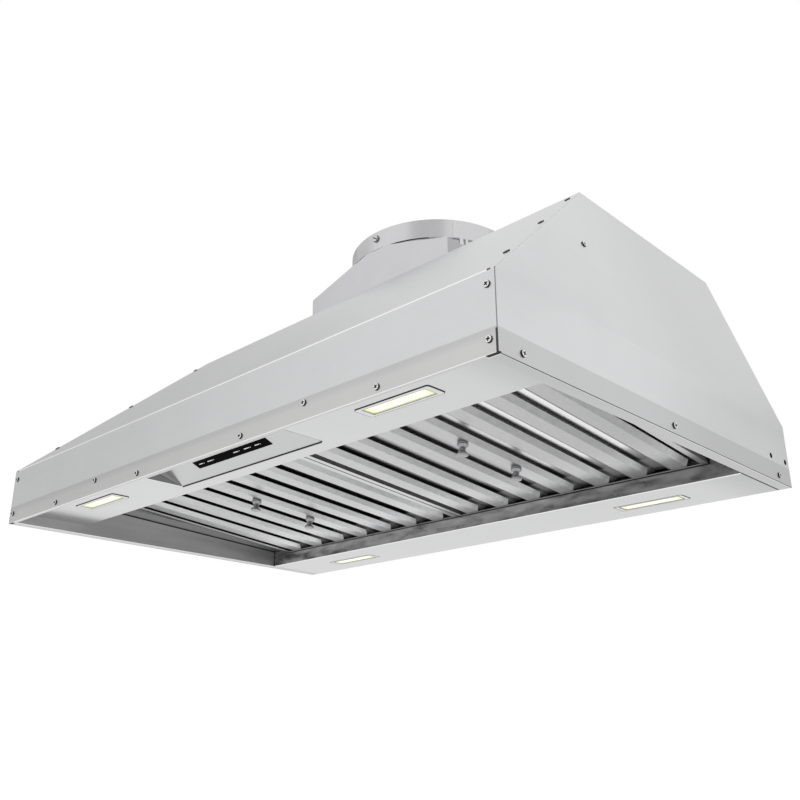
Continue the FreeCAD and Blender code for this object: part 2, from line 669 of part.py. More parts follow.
# Rear light strip: bottom plate, upright lip and the slanting seat that carries the filters.
rear_strip = piece("rear_light_strip")
pad(rear_strip, "sheet", "YZ", [poly(
    ("rear_lip", "0"),
    ("half_depth - sheet", "0"),
    ("half_depth - sheet", "sheet"),
    ("rear_lip + sheet", "sheet"),
    ("rear_lip + sheet", "rear_lip_height - sheet * (1 + tan(filter_tilt))"),
    ("rear_lip + rear_lip_seat", "rear_lip_height - sheet - rear_lip_seat * tan(filter_tilt)"),
    ("rear_lip + rear_lip_seat", "rear_lip_height - rear_lip_seat * tan(filter_tilt)"),
    ("rear_lip", "rear_lip_height"),
)], "2 * strip_half")
pad(rear_strip, "ears", "XZ", [box(
    on_side(sign, "opening_half"), "sheet",
    on_side(sign, "strip_half"), "ledge_height - sheet_gap",
) for side, sign in SIDES], "sheet", "plus", "rear_lip")
pocket(rear_strip, "cut_outs", "XY", [
    rounded(on_side(sign, "lamp_spread"), "half_depth - rear_lamp_back", "(lamp_length + 2 * lamp_gap)",
            "(lamp_width + 2 * lamp_gap)", "(lamp_corner + lamp_gap)") for side, sign in SIDES
])

# Control pocket: upright front wall and triangular ends, each end with a tab folded under the plate.
# It is drawn in the plate's own slanting plane, from the plate's rear edge.
wall_run = ("-plate_length", "0"), ("-mouth_back", "-mouth_down")
pocket_shell = piece("control_pocket")
pad(pocket_shell, "front_wall", "YZ", [poly(
    wall_run[0],
    wall_run[1],
    ("-mouth_back - sheet * cos(control_angle)", "-mouth_down - sheet * sin(control_angle)"),
    ("-plate_length - sheet * cos(control_angle)", "-sheet * sin(control_angle)"),
)], "control_width + 2 * sheet")
for side, sign in SIDES:
    pad(pocket_shell, "end_" + side, "YZ", [poly(("0", "0"), wall_run[0], wall_run[1])],
        "sheet", "plus" if sign == "1" else "minus", on_side(sign, "control_half"))
pad(pocket_shell, "tabs", "XY", [poly(
    (on_side(sign, "control_half + sheet / 2"), "-sheet"),
    (on_side(sign, "control_half"), "-sheet"),
    (on_side(sign, "control_half - tab_width"), "-plate_length + 2 * tab_sheet"),
    (on_side(sign, "control_half + sheet / 2"), "-plate_length + 2 * tab_sheet"),
) for side, sign in SIDES], "tab_sheet", "minus")
place(pocket_shell, "0", "control_rear", "strip_rise", "-control_angle")

# Control plate with its window, the touch glass in it and the board behind.
plate = piece("control_plate")
pad(plate, "plate", "XY", [box("-control_half", "-plate_length", "control_half", "0")], "sheet", "plus")
pocket(plate, "window", "XY", [box(
    "-glass_width / 2 - glass_fit", "-glass_up - glass_height - glass_fit",
    "glass_width / 2 + glass_fit", "-glass_up + glass_fit")])
place(plate, "0", "control_rear", "strip_rise", "-control_angle")
glass = piece("control_glass")
pad(glass, "glass", "XY", [box(
    "-glass_width / 2", "-glass_up - glass_height", "glass_width / 2", "-glass_up")],
    "glass_thickness", "plus", "-glass_proud")
place(glass, "0", "control_rear", "strip_rise", "-control_angle")
board = piece("control_board")
pad(board, "case", "XY", [rounded(
    "0", "-glass_up - glass_height / 2", "(glass_width + 2 * board_border)",
    "(glass_height + 2 * board_border)", "board_border / 2")], "board_thickness", "plus", "sheet")
pocket(board, "seat", "XY", [box(
    "-glass_width / 2 - glass_fit", "-glass_up - glass_height - glass_fit",
    "glass_width / 2 + glass_fit", "-glass_up + glass_fit")],
    "glass_thickness - glass_proud - sheet", "plus", "sheet")
place(board, "0", "control_rear", "strip_rise", "-control_angle")

# Lamps: a flush bezel in each strip, the lens behind it and the tray on top of the strip.
LAMPS = (
    ("front_left", "-lamp_spread", "front_face + front_lamp_back", "strip_rise"),
    ("front_right", "lamp_spread", "front_face + front_lamp_back", "strip_rise"),
    ("rear_left", "-lamp_spread", "half_depth - rear_lamp_back", "0"),
    ("rear_right", "lamp_spread", "half_depth - rear_lamp_back", "0"),
)
for spot, x, y, z in LAMPS:
    bezel = piece("lamp_bezel_" + spot)
    pad(bezel, "ring", "XY", [rounded("0", "0", "lamp_length", "lamp_width", "lamp_corner"),
                              box("-lens_length / 2", "-lens_width / 2", "lens_length / 2", "lens_width / 2")],
        "sheet", "plus")
    place(bezel, x, y, z)
    lens = piece("lamp_lens_" + spot)
    pad(lens, "flange", "XY", [box("-lens_length / 2 - lens_rim", "-lens_width / 2 - lens_rim",
                                   "lens_length / 2 + lens_rim", "lens_width / 2 + lens_rim")],
        "sheet", "plus", "sheet")
    pad(lens, "window", "XY", [box("-lens_length / 2 + lamp_gap", "-lens_width / 2 + lamp_gap",
                                   "lens_length / 2 - lamp_gap", "lens_width / 2 - lamp_gap")],
        "sheet - lens_sink", "plus", "lens_sink")
    place(lens, x, y, z)
    tray = piece("lamp_tray_" + spot)
    pad(tray, "flange", "XY", [rounded("0", "0", "(lamp_length + 2 * tray_border)",
                                       "(lamp_width + 2 * tray_border)", "(lamp_corner + tray_border)")],
        "sheet", "plus", "sheet")
    pad(tray, "can", "XY", [rounded("0", "0", "lamp_length", "lamp_width", "lamp_corner")],
        "tray_height", "plus", "sheet")
    pocket(tray, "hollow", "XY", [box("-lens_length / 2 - lens_rim - lamp_gap", "-lens_width / 2 - lens_rim - lamp_gap",
                                      "lens_length / 2 + lens_rim + lamp_gap",
                                      "lens_width / 2 + lens_rim + lamp_gap")],
           "tray_height - sheet", "plus", "sheet")
    place(tray, x, y, z)

# Filter rail above the front strip's lip, with a bowed leaf catch for each filter.
rail = piece("filter_rail")
pad(rail, "sheet", "YZ", [poly(
    ("strip_rear - 2 * sheet", "strip_lip_top - flange_width"),
    ("strip_rear - sheet", "strip_lip_top - flange_width"),
    ("strip_rear - sheet", "strip_lip_top + rail_height - sheet"),
    ("strip_rear + rail_cover", "strip_lip_top + rail_height - sheet"),
    ("strip_rear + rail_cover", "strip_lip_top + rail_height"),
    ("strip_rear - 2 * sheet", "strip_lip_top + rail_height"),
)], "2 * opening_half")
for side, sign in SIDES:
    catch = piece("filter_catch_" + side)
    bow = "strip_rear + filter_front_gap - catch_gap"
    pad(catch, "leaf", "YZ", [poly(
        ("strip_rear - sheet", "strip_lip_top + sheet"),
        ("strip_rear - sheet + catch_sheet", "strip_lip_top + sheet"),
        ("strip_rear - sheet + catch_sheet", "strip_lip_top + rail_height / 4"),
        (bow, "strip_lip_top + rail_height / 2 - catch_sheet"),
        (bow, "strip_lip_top + rail_height / 2 + catch_sheet"),
        ("strip_rear - sheet + 2 * catch_sheet", "strip_lip_top + rail_height * 3 / 4"),
        ("strip_rear - sheet + catch_sheet", "strip_lip_top + rail_height * 3 / 4"),
        (bow + " - catch_sheet * 3 / 2", "strip_lip_top + rail_height / 2"),
        ("strip_rear - sheet", "strip_lip_top + rail_height / 4 + catch_sheet"),
    )], "catch_width")
    place(catch, on_side(sign, "opening_half / 2"))

# Baffle filters, each drawn flat from its hinge line on the rear lip and then tilted up to the front.
for side, sign in SIDES:
    spot = (on_side(sign, "opening_half / 2"), "rear_lip", "rear_lip_height", "-filter_tilt")

    # Frame: a channel on four sides, open towards the middle.
    frame = piece("filter_frame_" + side)
    pad(frame, "block", "XY", [box("-frame_half", "-filter_length", "frame_half", "filter_seat")],
        "filter_height", "plus", "seat_gap")
    pocket(frame, "window", "XY", [box(
        "filter_rail - frame_half", "filter_rail - filter_length",
        "frame_half - filter_rail", "-filter_rail_show")])
    pocket(frame, "channel", "XY", [box(
        "filter_sheet - frame_half", "filter_sheet - filter_length",
        "frame_half - filter_sheet", "filter_seat - filter_sheet")],
        "filter_height - 2 * filter_sheet", "plus", "baffle_level")
    place(frame, *spot)

    # Lower baffles: flat bottoms with flared sides, mitred at the rear, tied together at both ends.
    lower = piece("filter_lower_baffles_" + side)
    pad(lower, "ties", "XY", [box(
        "filter_sheet + sheet_gap - frame_half", y0, "frame_half - filter_sheet - sheet_gap", y1,
    ) for y0, y1 in (("baffle_front", "baffle_front + tie_width"), ("baffle_back - tie_width", "baffle_back"))],
        "filter_sheet", "plus", "baffle_level")
    first = "-(baffle_count - 1) / 2 * baffle_pitch - baffle_shift"
    flat = pad(lower, "flat", "XY", [box(
        first + " - baffle_flat / 2", "baffle_front", first + " + baffle_flat / 2", "baffle_back")],
        "filter_sheet", "plus", "baffle_level")
    steps = (("baffle_flat / 2 + baffle_run", "baffle_rise"), ("baffle_flat / 2", "0"))
    under = [(first + " - (" + x + ")", "baffle_level + " + z) for x, z in steps]
    under += [(first + " + (" + x + ")", "baffle_level + " + z) for x, z in reversed(steps)]
    over = [(x, z + " + filter_sheet") for x, z in reversed(under)]
    flare = pad(lower, "flare", "XZ", [poly(*(under + over))], "row_end - baffle_front", "minus", "row_end")
    row_of(lower, "row", [flat, flare], "X", "baffle_count", "baffle_pitch")
    pocket(lower, "mitres", "YZ", [poly(
        ("row_end", "baffle_level + filter_sheet"),
        ("row_end + past", "baffle_level + filter_sheet"),
        ("row_end + past", "baffle_level + baffle_rise + 2 * filter_sheet"),
        ("row_end - baffle_mitre", "baffle_level + baffle_rise + 2 * filter_sheet"),
    )])
    place(lower, *spot)

    # Upper baffles: hoods over the gaps between the lower ones, tied under the frame's top flange.
    upper = piece("filter_upper_baffles_" + side)
    pad(upper, "ties", "XY", [box(
        "filter_sheet + sheet_gap - frame_half", y0, "frame_half - filter_sheet - sheet_gap", y1,
    ) for y0, y1 in (("baffle_front", "baffle_front + tie_width"), ("baffle_back - tie_width", "baffle_back"))],
        "filter_sheet", "plus", "upper_level")
    first = "-(baffle_count - 2) / 2 * baffle_pitch - baffle_shift"
    steps = (("upper_flat / 2 + upper_run", "-upper_drop"), ("upper_flat / 2", "0"))
    under = [(first + " - (" + x + ")", "upper_level + " + z) for x, z in steps]
    under += [(first + " + (" + x + ")", "upper_level + " + z) for x, z in reversed(steps)]
    over = [(x, z + " + filter_sheet") for x, z in reversed(under)]
    hood = pad(upper, "hood", "XZ", [poly(*(under + over))], "baffle_back - baffle_front", "minus", "baffle_back")
    row_of(upper, "row", [hood], "X", "baffle_count - 1", "baffle_pitch")
    place(upper, *spot)

    # Two spool knobs under the middle baffle.
    knobs = piece("filter_knobs_" + side)
    spool = revolve(knobs, "spool", "XZ", [poly(
        ("0", "0"),
        ("knob_base_radius", "0"),
        ("knob_base_radius", "-knob_length * 0.14"),
        ("knob_neck_radius", "-knob_length * 0.36"),
        ("knob_neck_radius", "-knob_length * 0.55"),
        ("knob_radius", "-knob_length * 0.78"),
        ("knob_radius", "-knob_length * 0.93"),
        ("knob_radius * 0.75", "-knob_length"),
        ("0", "-knob_length"),
    )], "Z")
    row_of(knobs, "pair", [spool], "Y", "2", "knob_pitch")
    tilt_back = "rear_lip - knob_front * cos(filter_tilt) + baffle_level * sin(filter_tilt)"
    tilt_up = "rear_lip_height + knob_front * sin(filter_tilt) + baffle_level * cos(filter_tilt)"
    place(knobs, on_side(sign, "opening_half / 2") + " - baffle_shift + knob_offset", tilt_back, tilt_up, "-filter_tilt")

# Transition box: flat front and rear, upright sides, gabled shoulders with a flat ridge, and a base flange.
transition = piece("transition_box")
pad(transition, "house", "XZ", [poly(
    ("-box_half", "hood_height"), ("box_half", "hood_height"), ("box_half", "shoulder"),
    ("ridge_half", "neck_seat"), ("-ridge_half", "neck_seat"), ("-box_half", "shoulder"))],
    "box_depth", "both", "collar_y")
inside = "shoulder - shoulder_sheet + sheet * tan(transition_slope)"
under_ridge = "ridge_half - (shoulder_sheet - sheet) / tan(transition_slope)"
pocket(transition, "hollow", "XZ", [poly(
    ("sheet - box_half", "hood_height - sheet"), ("box_half - sheet", "hood_height - sheet"),
    ("box_half - sheet", inside), (under_ridge, "neck_seat - sheet"),
    ("-(%s)" % under_ridge, "neck_seat - sheet"), ("sheet - box_half", inside))],
    "box_depth - 2 * sheet", "both", "collar_y")
pocket(transition, "roof_hole", "XY", [circle("0", "collar_y", "neck_radius + sheet_gap")],
       None, "plus", "hood_height + transition_wall / 2")
pad(transition, "base_flange", "XY", [
    box("-box_half - flange_width", "collar_y - box_depth / 2 - flange_width",
        "box_half + flange_width", "collar_y + box_depth / 2 + flange_width / 2"),
    box("sheet - box_half", "collar_y - box_depth / 2 + sheet", "box_half - sheet", "collar_y + box_depth / 2 - sheet"),
], "sheet", "plus", "hood_height")

# Duct neck: a rolled tube through the roof, with a flange that sits on the ridge and carries the collar.
neck = piece("duct_neck")
pad(neck, "tube", "XY", [circle("0", "0", "neck_radius"), circle("0", "0", "neck_radius - sheet")],
    "neck_seat - shoulder + sheet + collar_overlap", "plus", "shoulder - neck_seat")
pad(neck, "flange", "XY", [circle("0", "0", "collar_radius - sheet_gap"), circle("0", "0", "neck_radius - sheet / 2")],
    "sheet", "plus")
place(neck, "0", "collar_y", "neck_seat")

# Duct collar: a band round the neck, an inner bead that stops the flaps, and holes for the damper rod.
collar = piece("duct_collar")
pad(collar, "band", "XY", [circle("0", "0", "collar_radius"), circle("0", "0", "collar_bore")],
    "collar_height", "plus")
pad(collar, "bead", "XY", [circle("0", "0", "collar_bore + sheet / 2"), circle("0", "0", "flap_radius - flap_stop")],
    "sheet", "minus", "collar_height - rod_drop - flap_sheet / 2 - sheet_gap")
pocket(collar, "rod_holes", "XZ", [circle("0", "collar_height - rod_drop", "rod_radius + rod_fit")])
place(collar, "0", "collar_y", "collar_bottom")

# Damper rod across the collar from front to rear, with a head at each end.
rod = piece("damper_rod")
revolve(rod, "rod", "YZ", [poly(
    ("-collar_radius - sheet_gap - rod_head_height", "0"),
    ("-collar_radius - sheet_gap - rod_head_height", "rod_head_radius"),
    ("-collar_radius - sheet_gap", "rod_head_radius"),
    ("-collar_radius - sheet_gap", "rod_radius"),
    ("collar_radius + sheet_gap", "rod_radius"),
    ("collar_radius + sheet_gap", "rod_head_radius"),
    ("collar_radius + sheet_gap + rod_head_height", "rod_head_radius"),
    ("collar_radius + sheet_gap + rod_head_height", "0"),
)], "Y")
place(rod, "0", "collar_y", "rod_height")

# Damper flaps: two half discs with knuckles on the rod, one turned half round from the other.
comb = [("-flap_radius - past", "-flap_radius - past"), ("knuckle_radius + sheet_gap * 2", "-flap_radius - past")]
for k in ("-2", "0"):
    foot = "%s * (knuckle_length + sheet_gap)" % k
    comb += [("knuckle_radius + sheet_gap * 2", foot), ("knuckle_radius - knuckle_wall / 2", foot),
             ("knuckle_radius - knuckle_wall / 2", foot + " + knuckle_length"),
             ("knuckle_radius + sheet_gap * 2", foot + " + knuckle_length")]
comb += [("knuckle_radius + sheet_gap * 2", "flap_radius + past"), ("-flap_radius - past", "flap_radius + past")]
for side, turn in (("right", "0"), ("left", "180")):
    flap = piece("damper_flap_" + side)
    pad(flap, "disc", "XY", [circle("0", "0", "flap_radius")], "flap_sheet")
    pocket(flap, "hinge_side", "XY", [poly(*comb)])
    for k in ("-2", "0"):
        name = "knuckle_front" if k == "-2" else "knuckle_rear"
        pad(flap, name, "XZ", [circle("0", "0", "knuckle_radius"), circle("0", "0", "knuckle_bore")],
            "knuckle_length", "plus", "%s * (knuckle_length + sheet_gap)" % k)
    place(flap, "0", "collar_y", "rod_height", turn, "0; 0; 1")


# Scroll outline in its own plane: front and bottom arcs that widen to the rear, then straight up to the outlet.
def scroll_face(inset, rise):
    front_r = size("scroll_front") - inset
    bottom_r = size("scroll_bottom") - inset
    rear_r = size("scroll_rear") - inset
    tongue = size("scroll_tongue") + inset
    head = size("scroll_top") + rise
    low = (front_r + bottom_r) / 2 * 0.5 ** 0.5
    far = (bottom_r + rear_r) / 2 * 0.5 ** 0.5
    near = (front_r - 1) * 0.5 ** 0.5
    cut_off = (front_r ** 2 - tongue ** 2) ** 0.5 - 2
    at = [FreeCAD.Vector(0, y, z) for y, z in (
        (-front_r, 0), (-low, -low), (0, -bottom_r), (far, -far), (rear_r, 0),
        (rear_r, head), (tongue, head), (tongue, cut_off), (-near, near))]
    edges = [Part.Arc(at[0], at[1], at[2]).toShape(), Part.Arc(at[2], at[3], at[4]).toShape(),
             Part.LineSegment(at[4], at[5]).toShape(), Part.LineSegment(at[5], at[6]).toShape(),
             Part.LineSegment(at[6], at[7]).toShape(), Part.Arc(at[7], at[8], at[0]).toShape()]
    return Part.Face(Part.Wire(edges))


for side, sign in SIDES:
    way = float(sign)
    grow = "plus" if sign == "1" else "minus"

    # Scroll housing: sheet round the outline, two side plates, an inlet in the outer one, outlet open at the top.
    housing = piece("scroll_housing_" + side, "Part::Feature")
    gauge = size("sheet")
    width = size("scroll_width")
    shell = scroll_face(0, 0).extrude(FreeCAD.Vector(width * way, 0, 0))
    hollow = scroll_face(gauge, gauge).extrude(FreeCAD.Vector((width - 2 * gauge) * way, 0, 0))
    hollow.translate(FreeCAD.Vector(gauge * way, 0, 0))
    inlet = Part.makeCylinder(size("inlet_radius"), width, FreeCAD.Vector(width / 2 * way, 0, 0),
                              FreeCAD.Vector(way, 0, 0))
    housing.Shape = shell.cut(hollow).cut(inlet)
    place(housing, on_side(sign, "blower_split"), "blower_y", "blower_height")

    # Impeller: back plate and hub, forward-swept blades, front ring.
    wheel = piece("impeller_" + side)
    pad(wheel, "back", "YZ", [circle("0", "0", "impeller_radius"), circle("0", "0", "shaft_radius")],
        "blade_sheet", grow, on_side(sign, "impeller_start"))
    pad(wheel, "hub", "YZ", [circle("0", "0", "hub_radius"), circle("0", "0", "shaft_radius")],
        "hub_length", grow, on_side(sign, "impeller_start"))
    pad(wheel, "ring", "YZ", [circle("0", "0", "impeller_radius"),
                              circle("0", "0", "impeller_radius - blade_depth")],
        "2 * blade_sheet", grow, on_side(sign, "impeller_end - 2 * blade_sheet"))
    blade = pad(wheel, "blade", "YZ", [poly(
        ("impeller_radius - blade_depth", "0"),
        ("impeller_radius - blade_depth / 2", "blade_sweep / 3"),
        ("impeller_radius - blade_sheet", "blade_sweep"),
        ("impeller_radius - 3 / 2 * blade_sheet", "blade_sweep + blade_sheet"),
        ("impeller_radius - blade_depth / 2 - blade_sheet / 2", "blade_sweep / 3 + blade_sheet"),
        ("impeller_radius - blade_depth", "blade_sheet"),
    )], "impeller_end - impeller_start - blade_sheet", grow, on_side(sign, "impeller_start + blade_sheet / 2"))
    ring_of(wheel, "blades", [blade], "X", "blade_count")
    place(wheel, "0", "blower_y", "blower_height")

    # Shaft from the motor into the hub.
    shaft = piece("motor_shaft_" + side)
    pad(shaft, "shaft", "YZ", [circle("0", "0", "shaft_radius")],
        "motor_start - impeller_start + flange_width", grow, on_side(sign, "impeller_start"))
    place(shaft, "0", "blower_y", "blower_height")

    # Motor: stepped can in the inlet with a bearing hole for the shaft.
    motor = piece("blower_motor_" + side)
    revolve(motor, "can", "XZ", [poly(*[(on_side(sign, x), r) for x, r in (
        ("motor_start", "shaft_radius + shaft_fit"),
        ("motor_start", "motor_radius * 0.6"),
        ("motor_start + motor_length * 0.15", "motor_radius"),
        ("motor_end - motor_length * 0.1", "motor_radius"),
        ("motor_end", "motor_radius * 0.85"),
        ("motor_end", "0"),
        ("motor_start + flange_width + sheet_gap", "0"),
        ("motor_start + flange_width + sheet_gap", "shaft_radius + shaft_fit"),
    )])], "X")
    place(motor, "0", "blower_y", "blower_height")

    # Motor bracket: outer ring on the scroll, inner ring round the motor, three arms.
    bracket = piece("motor_bracket_" + side)
    pad(bracket, "outer_ring", "YZ", [circle("0", "0", "inlet_radius + 2 * bracket_ring"),
                                      circle("0", "0", "inlet_radius")],
        "bracket_sheet", grow, on_side(sign, "scroll_end"))
    pad(bracket, "inner_ring", "YZ", [circle("0", "0", "motor_radius + sheet_gap + bracket_ring"),
                                      circle("0", "0", "motor_radius + sheet_gap")],
        "bracket_sheet", grow, on_side(sign, "scroll_end"))
    arm = pad(bracket, "arm", "YZ", [box("-bracket_arm / 2", "motor_radius + bracket_ring / 2",
                                         "bracket_arm / 2", "inlet_radius + bracket_ring")],
              "bracket_sheet", grow, on_side(sign, "scroll_end"))
    ring_of(bracket, "arms", [arm], "X", "3")
    place(bracket, "0", "blower_y", "blower_height")

# Supply: junction box under the top panel, its cover, and the bush in the knockout.
junction = piece("junction_box")
pad(junction, "block", "XY", [box("-box_length / 2", "-box_width / 2", "box_length / 2", "box_width / 2")],
    "box_height", "minus")
pocket(junction, "hollow", "XY", [box("sheet - box_length / 2", "sheet - box_width / 2",
                                      "box_length / 2 - sheet", "box_width / 2 - sheet")],
       "box_height - sheet", "plus", "-box_height")
pocket(junction, "knockout", "XY", [circle("0", "0", "supply_radius")])
place(junction, "-box_left", "box_back", "top_under")
cover = piece("junction_cover")
pad(cover, "plate", "XY", [box("-box_length / 2", "-box_width / 2", "box_length / 2", "box_width / 2")],
    "sheet", "minus", "-box_height")
pad(cover, "lip", "XY", [
    box("sheet + sheet_gap - box_length / 2", "sheet + sheet_gap - box_width / 2",
        "box_length / 2 - sheet - sheet_gap", "box_width / 2 - sheet - sheet_gap"),
    box("2 * sheet + sheet_gap - box_length / 2", "2 * sheet + sheet_gap - box_width / 2",
        "box_length / 2 - 2 * sheet - sheet_gap", "box_width / 2 - 2 * sheet - sheet_gap"),
], "flange_width / 2", "plus", "-box_height")
place(cover, "-box_left", "box_back", "top_under")
bush = piece("supply_bush")
revolve(bush, "ring", "XZ", [poly(
    ("supply_radius - sheet_gap - bush_wall", "-2 * sheet"),
    ("supply_radius - sheet_gap", "-2 * sheet"),
    ("supply_radius - sheet_gap", "0"),
    ("supply_radius + bush_flange", "0"),
    ("supply_radius + bush_flange", "bush_wall"),
    ("supply_radius - sheet_gap - bush_wall", "bush_wall"),
)], "Z")
place(bush, "-box_left", "box_back", "hood_height")

# Lamp driver on the front strip, between the control recess and the right-hand lamp tray.
driver = piece("lamp_driver")
can = pad(driver, "case", "XY", [rounded("0", "0", "(driver_length)", "driver_width", "sheet * 2")],
          "driver_height", "plus")
place(driver, "driver_right", "front_face + front_lamp_back", "strip_top")

doc.recompute()
failed = [o.Name for o in doc.Objects if "Invalid" in o.State or "Error" in o.State]
failed += [o.Label for o in PIECES if o.Shape.isNull() or not o.Shape.isValid() or not o.Shape.Solids]
if failed:
    raise ValueError("failed: " + ", ".join(failed))

os.makedirs("parts", exist_ok=True)
for made in PIECES:
    made.Shape.exportStep("parts/%s.step" % made.Label)
print(len(PIECES), "pieces")
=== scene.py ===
import bpy
import json
import math
from mathutils import Matrix, Vector

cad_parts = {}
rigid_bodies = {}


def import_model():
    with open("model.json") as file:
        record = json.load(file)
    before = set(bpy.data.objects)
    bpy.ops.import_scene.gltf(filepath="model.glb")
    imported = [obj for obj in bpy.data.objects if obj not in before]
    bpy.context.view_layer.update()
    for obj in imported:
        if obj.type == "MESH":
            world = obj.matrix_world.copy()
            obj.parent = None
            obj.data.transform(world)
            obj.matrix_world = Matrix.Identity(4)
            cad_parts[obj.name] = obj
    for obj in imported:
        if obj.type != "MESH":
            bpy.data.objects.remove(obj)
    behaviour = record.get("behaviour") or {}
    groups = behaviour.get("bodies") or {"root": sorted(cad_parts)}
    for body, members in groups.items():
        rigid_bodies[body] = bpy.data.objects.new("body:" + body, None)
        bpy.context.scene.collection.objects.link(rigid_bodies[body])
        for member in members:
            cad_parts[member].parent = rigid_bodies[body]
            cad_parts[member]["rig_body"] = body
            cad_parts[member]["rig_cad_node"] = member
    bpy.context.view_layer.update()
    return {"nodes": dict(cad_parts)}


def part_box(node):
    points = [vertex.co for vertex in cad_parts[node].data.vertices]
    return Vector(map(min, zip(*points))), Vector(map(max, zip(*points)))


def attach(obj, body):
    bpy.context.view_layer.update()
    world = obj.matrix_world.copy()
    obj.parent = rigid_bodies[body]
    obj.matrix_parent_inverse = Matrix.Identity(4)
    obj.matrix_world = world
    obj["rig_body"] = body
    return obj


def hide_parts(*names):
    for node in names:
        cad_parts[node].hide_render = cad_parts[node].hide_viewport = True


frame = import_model()
nodes = frame["nodes"]

# Front panel
# The fascia and the sloping front are one stainless sheet, folded along the crease and hemmed below.
# The grain runs across the hood, and each end has a dark lap, slit and notch. The crease and the hem's fold
# carry a painted highlight, the hem a painted dark line and darker band, and the slope painted shade.
STEEL = (0.66, 0.663, 0.67)
# The tint of the brighter steel on rounded folds, a painted highlight.
FOLD = (0.93, 0.93, 0.93)
GRAIN_ACROSS = (0.25, 0.0011, 0.0011)
EVEN_GRAIN = (0.01, 0.01, 0.01)
FINE_GRAIN = (0.003, 0.003, 0.003)
GRAIN_RELIEF = 0.0002
SHEET_FOLD = 0.0005
WELD_GAP = 0.00001
HALF_WIDTH = 0.4365
BAND_TOP = 0.077
HEM_TOP = 0.0215
LAP_WIDTH = 0.0017
SLIT_LENGTH = 0.0130
NOTCH = (0.4283, 0.4320)
CREASE_REACH = 0.0012
END_EDGE = 0.0006
BOTTOM_EDGE = 0.0013
BOTTOM_FOLD = 0.002


# An empty node group with its input and output nodes, from rows of a socket's name, direction and kind.
def new_group(name, sockets):
    group = bpy.data.node_groups.new(name, "ShaderNodeTree")
    for socket, way, kind in sockets:
        group.interface.new_socket(socket, in_out=way, socket_type="NodeSocket" + kind)
    return group, group.nodes.new("NodeGroupInput"), group.nodes.new("NodeGroupOutput")


# Grain of brushed sheet: fine streaks along one axis, slow cloudy patches, a rougher and a smoother share.
def grain_group():
    group, inp, out = new_group("brushed_grain", (
        ("Vector", "INPUT", "Vector"),
        ("Tint", "INPUT", "Color"),
        ("Streak", "INPUT", "Float"),
        ("Cloud", "INPUT", "Float"),
        ("Roughness", "INPUT", "Float"),
        ("Color", "OUTPUT", "Color"),
        ("Roughness", "OUTPUT", "Float"),
        ("Height", "OUTPUT", "Float"),
    ))
    n = group.nodes
    link = group.links.new
    place = n.new("ShaderNodeTexCoord")
    streak = n.new("ShaderNodeTexNoise")
    streak.inputs["Scale"].default_value = 1.0
    streak.inputs["Detail"].default_value = 4.0
    link(inp.outputs["Vector"], streak.inputs["Vector"])
    cloud = n.new("ShaderNodeTexNoise")
    cloud.inputs["Scale"].default_value = 14.0
    cloud.inputs["Detail"].default_value = 5.0
    cloud.inputs["Roughness"].default_value = 0.6
    link(place.outputs["Object"], cloud.inputs["Vector"])
    parts = []
    for noise, amount in ((streak, "Streak"), (cloud, "Cloud")):
        level = n.new("ShaderNodeMath")
        level.operation = "SUBTRACT"
        level.inputs[1].default_value = 0.5
        link(noise.outputs["Fac"], level.inputs[0])
        scaled = n.new("ShaderNodeMath")
        scaled.operation = "MULTIPLY"
        link(level.outputs[0], scaled.inputs[0])
        link(inp.outputs[amount], scaled.inputs[1])
        parts.append(scaled)
    both = n.new("ShaderNodeMath")
    both.operation = "ADD"
    link(parts[0].outputs[0], both.inputs[0])
    link(parts[1].outputs[0], both.inputs[1])
    gain = n.new("ShaderNodeMath")
    gain.operation = "ADD"
    gain.inputs[1].default_value = 1.0
    link(both.outputs[0], gain.inputs[0])
    tone = n.new("ShaderNodeVectorMath")
    tone.operation = "SCALE"
    link(inp.outputs["Tint"], tone.inputs[0])
    link(gain.outputs[0], tone.inputs["Scale"])
    link(tone.outputs[0], out.inputs["Color"])
    rough = n.new("ShaderNodeMath")
    rough.operation = "MULTIPLY_ADD"
    rough.inputs[1].default_value = 0.5
    link(both.outputs[0], rough.inputs[0])
    link(inp.outputs["Roughness"], rough.inputs[2])
    link(rough.outputs[0], out.inputs["Roughness"])
    link(streak.outputs["Fac"], out.inputs["Height"])
    return group


# A soft step in tone along one direction of the object. It paints shade or light, such as the dark line and
# darker band painted along the hem.
def band_group():
    group, inp, out = new_group("soft_band", (
        ("Color", "INPUT", "Color"),
        ("Axis", "INPUT", "Vector"),
        ("Start", "INPUT", "Float"),
        ("End", "INPUT", "Float"),
        ("Tone", "INPUT", "Color"),
        ("Color", "OUTPUT", "Color"),
    ))
    n = group.nodes
    link = group.links.new
    place = n.new("ShaderNodeTexCoord")
    along = n.new("ShaderNodeVectorMath")
    along.operation = "DOT_PRODUCT"
    link(place.outputs["Object"], along.inputs[0])
    link(inp.outputs["Axis"], along.inputs[1])
    step = n.new("ShaderNodeMapRange")
    step.interpolation_type = "SMOOTHSTEP"
    link(along.outputs["Value"], step.inputs["Value"])
    link(inp.outputs["Start"], step.inputs["From Min"])
    link(inp.outputs["End"], step.inputs["From Max"])
    mix = n.new("ShaderNodeMix")
    mix.data_type = "RGBA"
    # The mix node's colour sockets share their names with others, so they are taken by number.
    plain, toned, mixed = mix.inputs[6], mix.inputs[7], mix.outputs[2]
    plain.default_value = (1.0, 1.0, 1.0, 1.0)
    link(step.outputs["Result"], mix.inputs["Factor"])
    link(inp.outputs["Tone"], toned)
    tone = n.new("ShaderNodeVectorMath")
    tone.operation = "MULTIPLY"
    link(inp.outputs["Color"], tone.inputs[0])
    link(mixed, tone.inputs[1])
    link(tone.outputs[0], out.inputs["Color"])
    return group


brushed_grain = grain_group()
soft_band = band_group()
